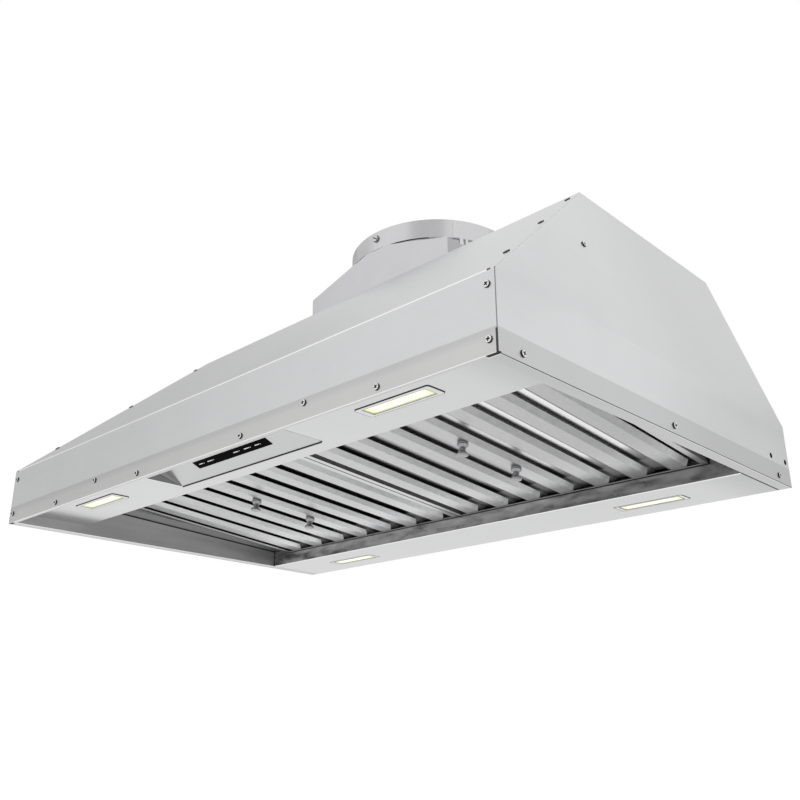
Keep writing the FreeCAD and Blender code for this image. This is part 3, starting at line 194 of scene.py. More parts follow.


# A brushed metal. Grain gives the streaks' wavelength in metres along X, Y and Z, bands its steps in tone,
# which are painted shade and painted light.
def brushed(name, tint, roughness, grain, streak=0.06, cloud=0.05, bump=0.03, metallic=1.0, bands=()):
    material = bpy.data.materials.new(name)
    material.use_nodes = True
    n = material.node_tree.nodes
    link = material.node_tree.links.new
    shader = n["Principled BSDF"]
    shader.inputs["Metallic"].default_value = metallic
    place = n.new("ShaderNodeTexCoord")
    stretch = n.new("ShaderNodeMapping")
    stretch.inputs["Scale"].default_value = [1.0 / g for g in grain]
    link(place.outputs["Object"], stretch.inputs["Vector"])
    group = n.new("ShaderNodeGroup")
    group.node_tree = brushed_grain
    group.inputs["Tint"].default_value = (*tint, 1.0)
    group.inputs["Streak"].default_value = streak
    group.inputs["Cloud"].default_value = cloud
    group.inputs["Roughness"].default_value = roughness
    link(stretch.outputs["Vector"], group.inputs["Vector"])
    colour = group.outputs["Color"]
    for axis, start, end, tone in bands:
        band = n.new("ShaderNodeGroup")
        band.node_tree = soft_band
        band.inputs["Axis"].default_value = axis
        band.inputs["Start"].default_value = start
        band.inputs["End"].default_value = end
        band.inputs["Tone"].default_value = (*tone, 1.0)
        link(colour, band.inputs["Color"])
        colour = band.outputs["Color"]
    link(colour, shader.inputs["Base Color"])
    link(group.outputs["Roughness"], shader.inputs["Roughness"])
    relief = n.new("ShaderNodeBump")
    relief.inputs["Strength"].default_value = bump
    relief.inputs["Distance"].default_value = GRAIN_RELIEF
    link(group.outputs["Height"], relief.inputs["Height"])
    link(relief.outputs["Normal"], shader.inputs["Normal"])
    return material


# Makes one object the only one selected.
def take(piece):
    bpy.ops.object.select_all(action="DESELECT")
    piece.select_set(True)
    bpy.context.view_layer.objects.active = piece


# A brighter steel for rounded folds and edges: a painted highlight along them.
fold_highlight = brushed("fold_highlight", FOLD, 0.22, EVEN_GRAIN, streak=0.05, cloud=0.04)


# A copy of a piece as one closed shell, riding on the same body and standing for it.
def shell_of(node_name, name):
    node = nodes[node_name]
    take(node)
    bpy.ops.object.duplicate()
    piece = bpy.context.object
    piece.name = name
    del piece["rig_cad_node"]
    bpy.ops.object.mode_set(mode="EDIT")
    bpy.ops.mesh.select_all(action="SELECT")
    bpy.ops.mesh.remove_doubles(threshold=WELD_GAP)
    bpy.ops.mesh.dissolve_limited(angle_limit=math.radians(1.0))
    bpy.ops.object.mode_set(mode="OBJECT")
    piece.data.materials.clear()
    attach(piece, node["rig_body"])
    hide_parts(node_name)
    return piece


# Rounds a shell's folds and cut edges over and gives them a finish of their own.
def round_over(piece, radius, face, edge, clamp=False):
    take(piece)
    piece.data.materials.append(face)
    piece.data.materials.append(edge)
    bevel = piece.modifiers.new("round", "BEVEL")
    bevel.width = radius
    bevel.segments = 2
    bevel.limit_method = "ANGLE"
    bevel.angle_limit = math.radians(30)
    bevel.use_clamp_overlap = clamp
    bevel.material = 1
    bpy.ops.object.modifier_apply(modifier="round")
    bpy.ops.object.shade_smooth_by_angle(angle=math.radians(40))
    weigh = piece.modifiers.new("weigh", "WEIGHTED_NORMAL")
    weigh.keep_sharp = True
    bpy.ops.object.modifier_apply(modifier="weigh")
    return piece


# Gives a finish of its own to the faces that a rule picks.
def dress(piece, finish, rule):
    piece.data.materials.append(finish)
    last = len(piece.data.materials) - 1
    for face in piece.data.polygons:
        if rule(face):
            face.material_index = last


# Whether a face still has the shell's second finish, that of its rounded folds and edges.
def is_edge(face):
    return face.material_index == 1


# Splits a sheet's faces along a plane, so that a part of them can take another finish.
def score(piece, point, normal):
    take(piece)
    bpy.ops.object.mode_set(mode="EDIT")
    bpy.ops.mesh.select_all(action="SELECT")
    bpy.ops.mesh.bisect(plane_co=point, plane_no=normal)
    bpy.ops.object.mode_set(mode="OBJECT")


UP = (0.0, 0.0, 1.0)
RIGHT = (1.0, 0.0, 0.0)
# The bands paint shade along the hem: a dark line at its top and a slightly darker band below.
front_steel = brushed("front_steel", STEEL, 0.34, GRAIN_ACROSS, cloud=0.09, bands=(
    (UP, 0.0240, 0.0225, (0.81, 0.81, 0.80)),
    (UP, 0.0215, 0.0120, (1.12, 1.12, 1.11)),
))
# The slope's steel is a darker copy of the fascia's, darker still towards the right: painted shade.
slope_steel = brushed("slope_steel", (0.615, 0.618, 0.624), 0.34, GRAIN_ACROSS, bands=(
    (RIGHT, -0.05, 0.15, (0.94, 0.94, 0.94)),
))
lap_grey = brushed("lap_grey", (0.30, 0.30, 0.30), 0.5, EVEN_GRAIN, streak=0.1, cloud=0.1)
# Dark grey for seams and laps, and for shade painted along edges and lines.
seam_and_shade_dark = brushed("seam_and_shade_dark", (0.06, 0.06, 0.062), 0.6, FINE_GRAIN,
                    streak=0.3, cloud=0.2, metallic=0.5)
# Near black for the slits and notches, and for shade painted into gaps, creases, holes and along edges.
slit_and_shade_black = brushed("slit_and_shade_black", (0.004, 0.004, 0.004), 0.7, FINE_GRAIN,
                     streak=0.3, cloud=0.2, bump=0.02, metallic=0.0)
# A bright finish for the crease's rounded faces: a painted highlight.
crease_highlight = brushed("crease_highlight", (0.90, 0.90, 0.90), 0.3, EVEN_GRAIN,
                        streak=0.03, cloud=0.03, bump=0.02, metallic=0.4)


# Whether a face belongs to the rounded crease between the fascia and the slope.
def at_crease(face):
    return abs(face.center.z - BAND_TOP) < CREASE_REACH and face.normal.z > 0.05


front_sheet = shell_of("front_panel", "front_panel_sheet")
for way in (-1, 1):
    score(front_sheet, (way * (HALF_WIDTH - LAP_WIDTH), 0, 0), RIGHT)
    score(front_sheet, (way * (HALF_WIDTH - SLIT_LENGTH), 0, 0), RIGHT)
    for end in NOTCH:
        score(front_sheet, (way * end, 0, 0), RIGHT)
score(front_sheet, (0, 0, HEM_TOP), UP)
round_over(front_sheet, SHEET_FOLD, front_steel, fold_highlight)
dress(front_sheet, front_steel, lambda face: is_edge(face) and face.center.z > BOTTOM_FOLD)
dress(front_sheet, slope_steel, lambda face: face.normal.z > 0.55)
dress(front_sheet, crease_highlight, lambda face: at_crease(face) and face.normal.z < 0.45
      and abs(face.center.x) < NOTCH[0])
dress(front_sheet, slit_and_shade_black, lambda face: at_crease(face) and face.normal.z < 0.7
      and NOTCH[0] < abs(face.center.x) < NOTCH[1])
dress(front_sheet, lap_grey, lambda face: abs(face.center.x) > HALF_WIDTH - END_EDGE
      and face.center.z < BAND_TOP)
dress(front_sheet, seam_and_shade_dark, lambda face: abs(face.center.x) > HALF_WIDTH - LAP_WIDTH
      and face.center.z < HEM_TOP)
dress(front_sheet, slit_and_shade_black, lambda face: abs(face.center.x) > HALF_WIDTH - SLIT_LENGTH
      and face.normal.z < -0.6 and face.center.z < BOTTOM_EDGE)

# End panels, flanges, top and rear
# Each end is a sheet with an upright band and a leaning upper part, and the top and the rear close the box.
# The front panel's screws go into the two flanges inside. All are stainless with a brushed grain.
GRAIN_BACK = (0.0011, 0.25, 0.0011)
SLIM_FOLD = 0.0004
MOUNT_HOLES = (0.2374, 0.2779)
MOUNT_HOLE_HEIGHT = 0.030
MOUNT_HOLE_RADIUS = 0.00325
BACK = (0.0, 1.0, 0.0)
# The bands paint light and shade: the upright band is lighter, and the strip along the hem and the rear are
# darker.
end_steel = brushed("end_steel", STEEL, 0.34, GRAIN_BACK, cloud=0.09, bands=(
    (UP, 0.0780, 0.0760, (1.05, 1.05, 1.05)),
    (UP, 0.0240, 0.0225, (0.83, 0.83, 0.83)),
    (BACK, -0.10, 0.15, (0.89, 0.89, 0.89)),
))
# A lighter steel for the hips' rounded edges: a painted highlight.
hip_highlight = brushed("hip_highlight", (0.82, 0.82, 0.82), 0.3, EVEN_GRAIN)


# A shell of a piece with its folds and edges rounded over. Unless another finish is given, the edges take
# the brighter steel that paints a highlight along them.
def folded(node_name, radius, steel, edge=fold_highlight, clamp=False):
    return round_over(shell_of(node_name, node_name + "_sheet"), radius, steel, edge, clamp)


# Whether a face lies in the wall of an end panel's mounting hole.
def in_mount_hole(face):
    reach = MOUNT_HOLE_RADIUS + 2 * SHEET_FOLD
    away = [math.hypot(face.center.y - y, face.center.z - MOUNT_HOLE_HEIGHT) for y in MOUNT_HOLES]
    return abs(face.normal.x) < 0.8 and min(away) < reach


for side in ("left", "right"):
    end_panel = folded("end_panel_" + side, SHEET_FOLD, end_steel, edge=end_steel)
    dress(end_panel, hip_highlight, lambda face: is_edge(face) and face.normal.y < -0.2
          and face.center.z > BAND_TOP)
    dress(end_panel, seam_and_shade_dark, lambda face: face.normal.z < -0.5 and face.center.z < BOTTOM_EDGE)
    # The mounting holes' walls are painted near black: painted shade in the holes.
    dress(end_panel, slit_and_shade_black, in_mount_hole)
top_steel = brushed("top_steel", STEEL, 0.34, GRAIN_ACROSS)
folded("top_panel", SHEET_FOLD, top_steel)
folded("rear_panel", SHEET_FOLD, top_steel)
folded("front_flange_left", SLIM_FOLD, end_steel)
folded("front_flange_right", SLIM_FOLD, end_steel)

# Canopy screws
# Pan head screws hold the fascia, the corners, the hips and the ends. They are zinc plated steel.
# Each head is a low dome with a cross recess, and every one stops at its own angle. Its rim and recess are
# painted near black as shade.
HEAD_RADIUS = 0.0034
HEAD_HEIGHT = 0.0016
HEAD_CLEARANCE = 0.0001
HEAD_DOME = 0.0009
RIM_INSET = 0.0004
RIM_DEPTH = 0.0006
CROSS_BAR = (0.0042, 0.0014, 0.0016)
TURN_STEP = 0.7
FRONT_FACE = -0.2875
ROOF_RISE = 0.228
ROOF_RUN = 0.265
ROOF_INSET = 0.0725
LOW_ROW = ((-0.3, -0.1, 0.1, 0.3), 0.0072)
HIGH_ROW = ((-0.2, 0.2), 0.018)
CORNER_SCREW = 0.428
CORNER_HEIGHTS = (0.0135, 0.0634)
HIP_SHARES = (0.18, 0.55, 0.91)
END_SCREWS = (-0.2535, 0.0, 0.2535)
END_SCREW_HEIGHT = 0.0087
STAY_SCREW = (0.3978, -0.0799, 0.1988)
screw_steel = brushed("screw_steel", (0.78, 0.78, 0.78), 0.25, (0.002, 0.002, 0.002),
                      streak=0.12, cloud=0.08)
# Near black for recesses, slots and the heads' rims: painted shade.
recess_black = brushed("recess_black", (0.035, 0.035, 0.037), 0.55, FINE_GRAIN,
                       streak=0.3, cloud=0.1, bump=0.02, metallic=0.6)


# Selects the faces that a rule picks, and leaves the piece in edit mode.
def pick_faces(piece, rule):
    bpy.ops.object.mode_set(mode="OBJECT")
    take(piece)
    bpy.ops.object.mode_set(mode="EDIT")
    bpy.ops.mesh.select_mode(type="FACE")
    bpy.ops.mesh.select_all(action="DESELECT")
    bpy.ops.object.mode_set(mode="OBJECT")
    for face in piece.data.polygons:
        face.select = rule(face)
    bpy.ops.object.mode_set(mode="EDIT")


# A block of a given size, turned and set in its place, to be shaped further.
def block(size, place):
    bpy.ops.object.select_all(action="DESELECT")
    bpy.ops.mesh.primitive_cube_add(size=1.0)
    piece = bpy.context.object
    piece.matrix_world = place @ Matrix.Diagonal((*size, 1.0))
    bpy.ops.object.transform_apply(location=True, rotation=True, scale=True)
    return piece


# Cuts a bar shaped slot into a piece. The slot's walls take the given dark finish, painted shade in the
# slot.
def cut_slot(piece, size, place, dark):
    cutter = block(size, place)
    cutter.data.materials.append(dark)
    take(piece)
    cut = piece.modifiers.new("slot", "BOOLEAN")
    cut.operation = "DIFFERENCE"
    cut.solver = "EXACT"
    cut.material_mode = "TRANSFER"
    cut.object = cutter
    bpy.ops.object.modifier_apply(modifier="slot")
    take(cutter)
    bpy.ops.object.delete()
    take(piece)


bpy.ops.object.select_all(action="DESELECT")
bpy.ops.mesh.primitive_cylinder_add(vertices=28, radius=HEAD_RADIUS, depth=HEAD_HEIGHT - 2 * HEAD_CLEARANCE,
                                    location=(0, 0, HEAD_HEIGHT / 2 + HEAD_CLEARANCE))
pan_screw = bpy.context.object
bpy.ops.object.transform_apply(location=True, rotation=True, scale=True)
pick_faces(pan_screw, lambda face: face.normal.z > 0.9)
bpy.ops.mesh.bevel(offset=HEAD_DOME, segments=4, affect="EDGES")
pick_faces(pan_screw, lambda face: face.normal.z < -0.9)
bpy.ops.mesh.inset(thickness=RIM_INSET)
bpy.ops.mesh.extrude_region_move(TRANSFORM_OT_translate={"value": (0, 0, -RIM_DEPTH)})
bpy.ops.object.mode_set(mode="OBJECT")
pan_screw.data.materials.append(screw_steel)
pan_screw.data.materials.append(recess_black)
# The faces that don't face up, the sides, underside and undercut, are painted near black: painted shade
# round the rim.
for face in pan_screw.data.polygons:
    face.material_index = 0 if face.normal.z > 0.6 else 1
bpy.ops.object.shade_smooth_by_angle(angle=math.radians(30))
for turn in (0.0, math.pi / 2):
    cut_slot(pan_screw, CROSS_BAR,
             Matrix.Translation((0, 0, HEAD_HEIGHT)) @ Matrix.Rotation(turn, 4, "Z"), recess_black)


# Joins pieces to one of a given name.
def joined(pieces, name):
    bpy.ops.object.select_all(action="DESELECT")
    for piece in pieces:
        piece.select_set(True)
    bpy.context.view_layer.objects.active = pieces[0]
    bpy.ops.object.join()
    pieces[0].name = name
    return pieces[0]


# A copy of a part on each spot, turned to face outwards, joined to one piece.
def set_on(part, name, spots):
    copies = []
    for count, (spot, outward) in enumerate(spots):
        take(part)
        bpy.ops.object.duplicate()
        copy = bpy.context.object
        face = Vector(outward).to_track_quat("Z", "Y").to_matrix().to_4x4()
        copy.matrix_world = Matrix.Translation(spot) @ face @ Matrix.Rotation(TURN_STEP * count, 4, "Z")
        bpy.ops.object.transform_apply(location=True, rotation=True, scale=True)
        copies.append(copy)
    return joined(copies, name)


fascia_spots = []
end_spots = []
for row, height in (LOW_ROW, HIGH_ROW):
    fascia_spots += [((x, FRONT_FACE, height), (0, -1, 0)) for x in row]
for way in (-1, 1):
    fascia_spots += [((way * CORNER_SCREW, FRONT_FACE, z), (0, -1, 0)) for z in CORNER_HEIGHTS]
    for share in HIP_SHARES:
        rise = share * ROOF_RISE
        hip = (way * (CORNER_SCREW - rise * ROOF_INSET / ROOF_RISE),
               FRONT_FACE + rise * ROOF_RUN / ROOF_RISE, BAND_TOP + rise)
        fascia_spots.append((hip, (0, -ROOF_RISE, ROOF_RUN)))
    end_spots += [((way * HALF_WIDTH, y, END_SCREW_HEIGHT), (way, 0, 0)) for y in END_SCREWS]
    stay = (way * STAY_SCREW[0], STAY_SCREW[1], STAY_SCREW[2])
    end_spots.append((stay, (way * ROOF_RISE, 0, ROOF_INSET)))
front_heads = set_on(pan_screw, "front_screw_heads", fascia_spots)
end_heads = set_on(pan_screw, "end_screw_heads", end_spots)
for heads, node_name in ((front_heads, "front_screws"), (end_heads, "end_screws")):
    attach(heads, "hood")
    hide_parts(node_name)
take(pan_screw)
bpy.ops.object.delete()

# Side liners and light strips
# Folded stainless trays close the underside round the filters: two liners at the ends and two strips.
# The strips carry the lamps. The rear one's upturned lip holds the filters. It is mottled and painted
# darker as shade, most of all towards the right, and the liners' inner walls are painted darker as shade
# too.
# Painted shade darkens the crease where each ledge meets its inner wall, the ledges' inner edges and the
# lip's top edge, and a painted highlight runs along the lip's foot. Dark lines show where the rear strip
# meets the liners.
LINER_WALL = 0.4215
LIP_FACE = 0.1832
LEDGE_HEIGHT = 0.0252
LEDGE_EDGE = 0.385
LEDGE_SLOPE = math.radians(3.05)
JOINT_WIDTH = 0.0016
LEDGE_LINE = 0.0013
LEDGE_FOLD = 0.002
WALL_REACH = 0.0013
WALL_FOOT = 0.01
LIP_FOLD = 0.0022
LIP_FOLD_HEIGHT = 0.0010
SEAT_EDGE = 0.0165
SEAT_REACH = 0.0015
# The bands paint shade: the strips are darker at their ends, most at the right, and the liners darker
# towards the rear.
strip_steel = brushed("strip_steel", (0.62, 0.622, 0.626), 0.22, GRAIN_ACROSS, bands=(
    (RIGHT, 0.35, 0.42, (0.82, 0.82, 0.82)),
    (RIGHT, -0.37, -0.42, (0.90, 0.90, 0.89)),
))
rear_strip_steel = brushed("rear_strip_steel", (0.56, 0.562, 0.566), 0.22, GRAIN_ACROSS, bands=(
    (RIGHT, 0.35, 0.42, (0.76, 0.76, 0.76)),
))
side_steel = brushed("side_steel", (0.51, 0.512, 0.516), 0.22, GRAIN_BACK, bands=(
    (BACK, -0.10, 0.25, (0.84, 0.84, 0.84)),
))
# The inner walls and the lip are darker tints of the steel: painted shade. The lip darkens towards the
# right.
wall_steel = brushed("wall_steel", (0.39, 0.39, 0.393), 0.36, (0.05, 0.25, 0.006),
                     streak=0.25, cloud=0.2, bump=0.05, metallic=0.7)
lip_steel = brushed("lip_steel", (0.31, 0.31, 0.313), 0.34, (0.035, 0.05, 0.010),
                    streak=2.6, cloud=0.8, bump=0.05, metallic=0.7,
                    bands=((RIGHT, 0.05, 0.36, (0.68, 0.68, 0.68)),))


# Whether a face still has the shell's first finish, that of its plain faces.
def is_plain(face):
    return face.material_index == 0


ledge_up = Vector((0.0, math.sin(LEDGE_SLOPE), math.cos(LEDGE_SLOPE)))
ledge_line = Vector((0.0, LIP_FACE, LEDGE_HEIGHT - LEDGE_LINE))
for side in ("left", "right"):
    liner = shell_of("side_liner_" + side, "side_liner_" + side + "_sheet")
    score(liner, ledge_line, ledge_up)
    round_over(liner, SHEET_FOLD, side_steel, fold_highlight)
    dress(liner, wall_steel, lambda face: is_plain(face) and abs(face.normal.x) > 0.7
          and face.center.z > BOTTOM_FOLD)
    # Painted shade: a black line where each ledge meets its inner wall, and along the ledge's inner edge.
    dress(liner, slit_and_shade_black, lambda face: abs(abs(face.center.x) - LINER_WALL) < WALL_REACH
          and face.center.z > WALL_FOOT and (face.center - ledge_line).dot(ledge_up) > 0)
    dress(liner, slit_and_shade_black, lambda face: is_edge(face) and abs(face.center.x) < LEDGE_EDGE + LEDGE_FOLD)
folded("front_light_strip", SHEET_FOLD, strip_steel)
rear_strip = shell_of("rear_light_strip", "rear_light_strip_sheet")
for way in (-1, 1):
    score(rear_strip, (way * (LINER_WALL - JOINT_WIDTH), 0, 0), RIGHT)
score(rear_strip, (0, LIP_FACE + LIP_FOLD, 0), BACK)
round_over(rear_strip, SHEET_FOLD, rear_strip_steel, fold_highlight)
dress(rear_strip, lip_steel, lambda face: is_plain(face) and abs(face.normal.y) > 0.7
      and face.center.z > BOTTOM_FOLD)
# Painted shade along the lip's top edge, and a painted highlight along its foot.
dress(rear_strip, seam_and_shade_dark, lambda face: is_edge(face) and face.center.y < LIP_FACE + SEAT_REACH
      and face.center.z > SEAT_EDGE)
dress(rear_strip, fold_highlight, lambda face: face.center.y < LIP_FACE + LIP_FOLD and face.normal.z < -0.3
      and face.center.z < LIP_FOLD_HEIGHT)
dress(rear_strip, slit_and_shade_black, lambda face: abs(face.center.x) > LINER_WALL - JOINT_WIDTH
      and (face.center.z < BOTTOM_EDGE or abs(face.normal.y) > 0.5))

# Control recess
# A slanting steel plate in a pocket of the front strip, with black touch glass and the board behind it.
# The pocket's end walls are painted as shade in two greys with a painted shadow line along the plate,
# and the plate's ends are painted dark as shade. The keys are plain light bars and dots on the glass.
PLATE_ANGLE = math.radians(22.2)
PLATE_REAR = Vector((0.0, -0.2024, 0.0137))
GLASS_MIDDLE = -0.02585
GLASS_FACE = -0.0004
END_LINE = (12.8, 14.2)
FINE_EDGE = 0.0002
PLATE_EDGE = 0.0003
KEYS = ((-0.0570, 0.0080), (-0.0389, 0.0105), (0.0111, 0.0090), (0.0314, 0.0100), (0.0503, 0.0080))
KEY_HEIGHT = 0.0012
KEY_SHIFT = 0.0012
DOT_GAP = 0.0008
MARK_THICKNESS = 0.00012
plate_place = Matrix.Translation(PLATE_REAR) @ Matrix.Rotation(-PLATE_ANGLE, 4, "X")
plate_steel = brushed("plate_steel", (0.575, 0.577, 0.58), 0.24, GRAIN_ACROSS)
shaded_steel = brushed("shaded_steel", (0.27, 0.27, 0.275), 0.3, GRAIN_BACK, streak=0.1, cloud=0.1)
return_steel = brushed("return_steel", (0.36, 0.36, 0.365), 0.3, GRAIN_BACK, streak=0.1, cloud=0.1)
pocket = shell_of("control_pocket", "control_pocket_sheet")
for degrees in END_LINE:
    angle = math.radians(degrees)
    score(pocket, PLATE_REAR, (0.0, math.sin(angle), math.cos(angle)))
round_over(pocket, FINE_EDGE, strip_steel, strip_steel, clamp=True)


# Angle of a point of the recess's ends above the strip, in degrees, seen from the plate's rear edge.
def angle_of(point):
    return math.degrees(math.atan2(point.z - PLATE_REAR.z, PLATE_REAR.y - point.y))


# Painted shade on the end walls: a darker grey, a dark shadow line, and a lighter grey towards the plate.
for finish, start, stop in ((shaded_steel, -180.0, END_LINE[0]), (seam_and_shade_dark, *END_LINE),
                            (return_steel, END_LINE[1], 180.0)):
    dress(pocket, finish, lambda face: abs(face.normal.x) > 0.8 and start < angle_of(face.center) < stop)
plate = folded("control_plate", PLATE_EDGE, plate_steel)
# The plate's ends are painted dark: painted shade.
dress(plate, seam_and_shade_dark, lambda face: abs(face.normal.x) > 0.3)


# A moulded, painted or glazed finish with a faint mottle.
def coated(name, tint, roughness, grain=(0.004, 0.004, 0.004)):
    return brushed(name, tint, roughness, grain, streak=0.08, cloud=0.08, bump=0.02, metallic=0.0)


black_glass = coated("black_glass", (0.002, 0.002, 0.0022), 0.5, (0.03, 0.03, 0.03))
black_glass.node_tree.nodes["Principled BSDF"].inputs["Specular IOR Level"].default_value = 0.01
folded("control_glass", PLATE_EDGE, black_glass, edge=black_glass)
black_plastic = coated("black_plastic", (0.02, 0.02, 0.02), 0.5)
folded("control_board", SHEET_FOLD, black_plastic, edge=black_plastic)
key_white = coated("key_white", (0.82, 0.83, 0.84), 0.4, (0.001, 0.001, 0.001))


# One key mark: a slim bar with rounded ends on the glass, from its place along the glass and its length.
def key_mark(place, length):
    mark = block((length, KEY_HEIGHT, MARK_THICKNESS),
                 Matrix.Translation((place, GLASS_MIDDLE, GLASS_FACE)))
    bpy.ops.object.mode_set(mode="EDIT")
    bpy.ops.mesh.select_mode(type="EDGE")
    bpy.ops.mesh.select_all(action="DESELECT")
    bpy.ops.object.mode_set(mode="OBJECT")
    points = mark.data.vertices
    for edge in mark.data.edges:
        run = points[edge.vertices[0]].co - points[edge.vertices[1]].co
        edge.select = abs(run.z) > MARK_THICKNESS / 2
    bpy.ops.object.mode_set(mode="EDIT")
    bpy.ops.mesh.bevel(offset=KEY_HEIGHT * 0.45, segments=3, affect="EDGES")
    bpy.ops.object.mode_set(mode="OBJECT")
    mark.matrix_world = plate_place
    bpy.ops.object.transform_apply(location=True, rotation=True, scale=True)
    mark.data.materials.append(key_white)
    return mark


marks = []
for place, length in KEYS:
    marks.append(key_mark(place - KEY_SHIFT, length))
    marks.append(key_mark(place + length * 0.5 + DOT_GAP, KEY_HEIGHT))
key_marks = joined(marks, "key_marks")
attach(key_marks, "hood")

# Plate shadow strip
# A slim black strip in the joint between the control plate's rear edge and the front strip paints its
# shadow line.
# It sits in the joint and stands a little below the plate's edge.
SHADOW_STRIP_SIZE = (0.2626, 0.0010, 0.0020)
SHADOW_STRIP_PLACE = (0.0, -0.20220, 0.01350)
SHADOW_STRIP_EDGE = 0.00015
# A matt black for the strip and the rings that paint shadow lines.
shadow_black = coated("shadow_black", (0.012, 0.012, 0.013), 0.6, (0.001, 0.001, 0.001))


# A slim strip with rounded edges, of a given size, place and finish.
def slim_strip(name, size, place, edge, finish):
    piece = block(size, place)
    piece.name = name
    bpy.ops.object.mode_set(mode="EDIT")
    bpy.ops.mesh.select_all(action="SELECT")
    bpy.ops.mesh.bevel(offset=edge, segments=2, affect="EDGES")
    bpy.ops.object.mode_set(mode="OBJECT")
    piece.data.materials.append(finish)
    return piece


shadow_strip = slim_strip("plate_shadow_strip", SHADOW_STRIP_SIZE, Matrix.Translation(SHADOW_STRIP_PLACE), SHADOW_STRIP_EDGE, shadow_black)
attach(shadow_strip, "hood")

# Lamps
# Each lamp is a steel bezel in the strip, a diffuser lens behind it and a white tray on top of the strip.
# The bezel's outline and rounded edges are black, a painted shadow line, and the front ones stand proud.
# A dark painted shadow line also rings the lens opening. The lens is yellower at its ends.
LENS_HALF = (0.041, 0.00825)
BEZEL_HALF = (0.049, 0.01325)
BEZEL_CORNER = 0.0035
SHADOW_RING_FRONT = 0.0007
SHADOW_RING_REAR = 0.0015
LENS_END = 0.011
LENS_RIM = 0.0025
RIM_GLOW = 0.4
PROUD = 0.0007
BORDER_AREA = 0.000147
lens_cream = bpy.data.materials.new("lens_cream")
lens_cream.use_nodes = True
lens_nodes = lens_cream.node_tree.nodes
lens_link = lens_cream.node_tree.links.new
lens_shader = lens_nodes["Principled BSDF"]
lens_shader.inputs["Roughness"].default_value = 0.35
lens_shader.inputs["Emission Strength"].default_value = 0.5
glow = lens_nodes.new("ShaderNodeAttribute")
glow.attribute_name = "glow"
speckle = lens_nodes.new("ShaderNodeTexNoise")
speckle.inputs["Scale"].default_value = 600.0
lens_place = lens_nodes.new("ShaderNodeTexCoord")
lens_link(lens_place.outputs["Object"], speckle.inputs["Vector"])
grainy = lens_nodes.new("ShaderNodeMath")
grainy.operation = "MULTIPLY_ADD"
grainy.inputs[1].default_value = 0.12
lens_link(speckle.outputs["Fac"], grainy.inputs[0])
lens_link(glow.outputs["Fac"], grainy.inputs[2])
for socket, rim, middle in (("Base Color", (0.50, 0.53, 0.25), (0.52, 0.52, 0.44)),
                            ("Emission Color", (0.82, 0.88, 0.36), (1.0, 1.0, 0.84))):
    ramp = lens_nodes.new("ShaderNodeValToRGB")
    ramp.color_ramp.elements[0].position = 0.05
    ramp.color_ramp.elements[0].color = (*rim, 1.0)
    ramp.color_ramp.elements[1].position = 0.85
    ramp.color_ramp.elements[1].color = (*middle, 1.0)
    lens_link(grainy.outputs[0], ramp.inputs["Fac"])
    lens_link(ramp.outputs["Color"], lens_shader.inputs[socket])
bezel_steel = brushed("bezel_steel", (0.68, 0.68, 0.685), 0.24, GRAIN_ACROSS)
tray_white = coated("tray_white", (0.75, 0.75, 0.74), 0.4)


# How far a spot of a bezel's face lies inside its rounded outline, from its place beside the lamp's middle.
def inside_outline(place):
    over = [max(abs(place[i]) - BEZEL_HALF[i] + BEZEL_CORNER, 0.0) for i in (0, 1)]
    return BEZEL_CORNER - math.hypot(*over)


for spot in ("front_left", "front_right", "rear_left", "rear_right"):
    low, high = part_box("lamp_bezel_" + spot)
    middle = (Vector(low) + Vector(high)) / 2
    proud = spot.startswith("front")
    shadow_width = SHADOW_RING_FRONT if proud else SHADOW_RING_REAR
    bezel = shell_of("lamp_bezel_" + spot, "lamp_bezel_" + spot + "_ring")
    pick_faces(bezel, lambda face: face.normal.z < -0.9)
    if proud:
        bpy.ops.mesh.extrude_region_move(TRANSFORM_OT_translate={"value": (0, 0, -PROUD)})
    bpy.ops.mesh.inset(thickness=shadow_width)
    bpy.ops.object.mode_set(mode="OBJECT")
    # A black ring round the bezel's outline and a dark line round the lens opening: painted shadow lines.
    round_over(bezel, FINE_EDGE, bezel_steel, shadow_black)
    dress(bezel, shadow_black, lambda face: inside_outline(face.center - middle) < shadow_width)
    dress(bezel, seam_and_shade_dark, lambda face: face.normal.z < -0.9 and face.area < BORDER_AREA
          and all(abs(face.center[i] - middle[i]) < LENS_HALF[i] + shadow_width for i in (0, 1)))
    lens = shell_of("lamp_lens_" + spot, "lamp_lens_" + spot + "_diffuser")
    for way in (-1, 1):
        score(lens, (middle.x + way * (LENS_HALF[0] - LENS_END), 0, 0), RIGHT)
    round_over(lens, FINE_EDGE, lens_cream, lens_cream)
    lowest = min(vertex.co.z for vertex in lens.data.vertices)
    pick_faces(lens, lambda face: face.normal.z < -0.99 and face.center.z < lowest + FINE_EDGE)
    bpy.ops.mesh.inset(thickness=LENS_RIM)
    bpy.ops.object.mode_set(mode="OBJECT")
    inner = {v for face in lens.data.polygons if face.select for v in face.vertices}
    shine = lens.data.attributes.new("glow", "FLOAT", "POINT")
    for vertex in lens.data.vertices:
        inward = (LENS_HALF[0] - abs(vertex.co.x - middle.x)) / LENS_END
        rim = 1.0 if vertex.index in inner else RIM_GLOW
        shine.data[vertex.index].value = rim * max(0.0, min(1.0, inward))
    folded("lamp_tray_" + spot, SHEET_FOLD, tray_white, edge=tray_white)

# Filter rail and catches
# The rail is a folded stainless sheet on the front strip's lip, and it covers the filters' front edge.
# Two bowed steel leaves on its upright side stand in front of the filters' front edges.
folded("filter_rail", SHEET_FOLD, strip_steel)
folded("filter_catch_left", FINE_EDGE, strip_steel, clamp=True)
folded("filter_catch_right", FINE_EDGE, strip_steel, clamp=True)

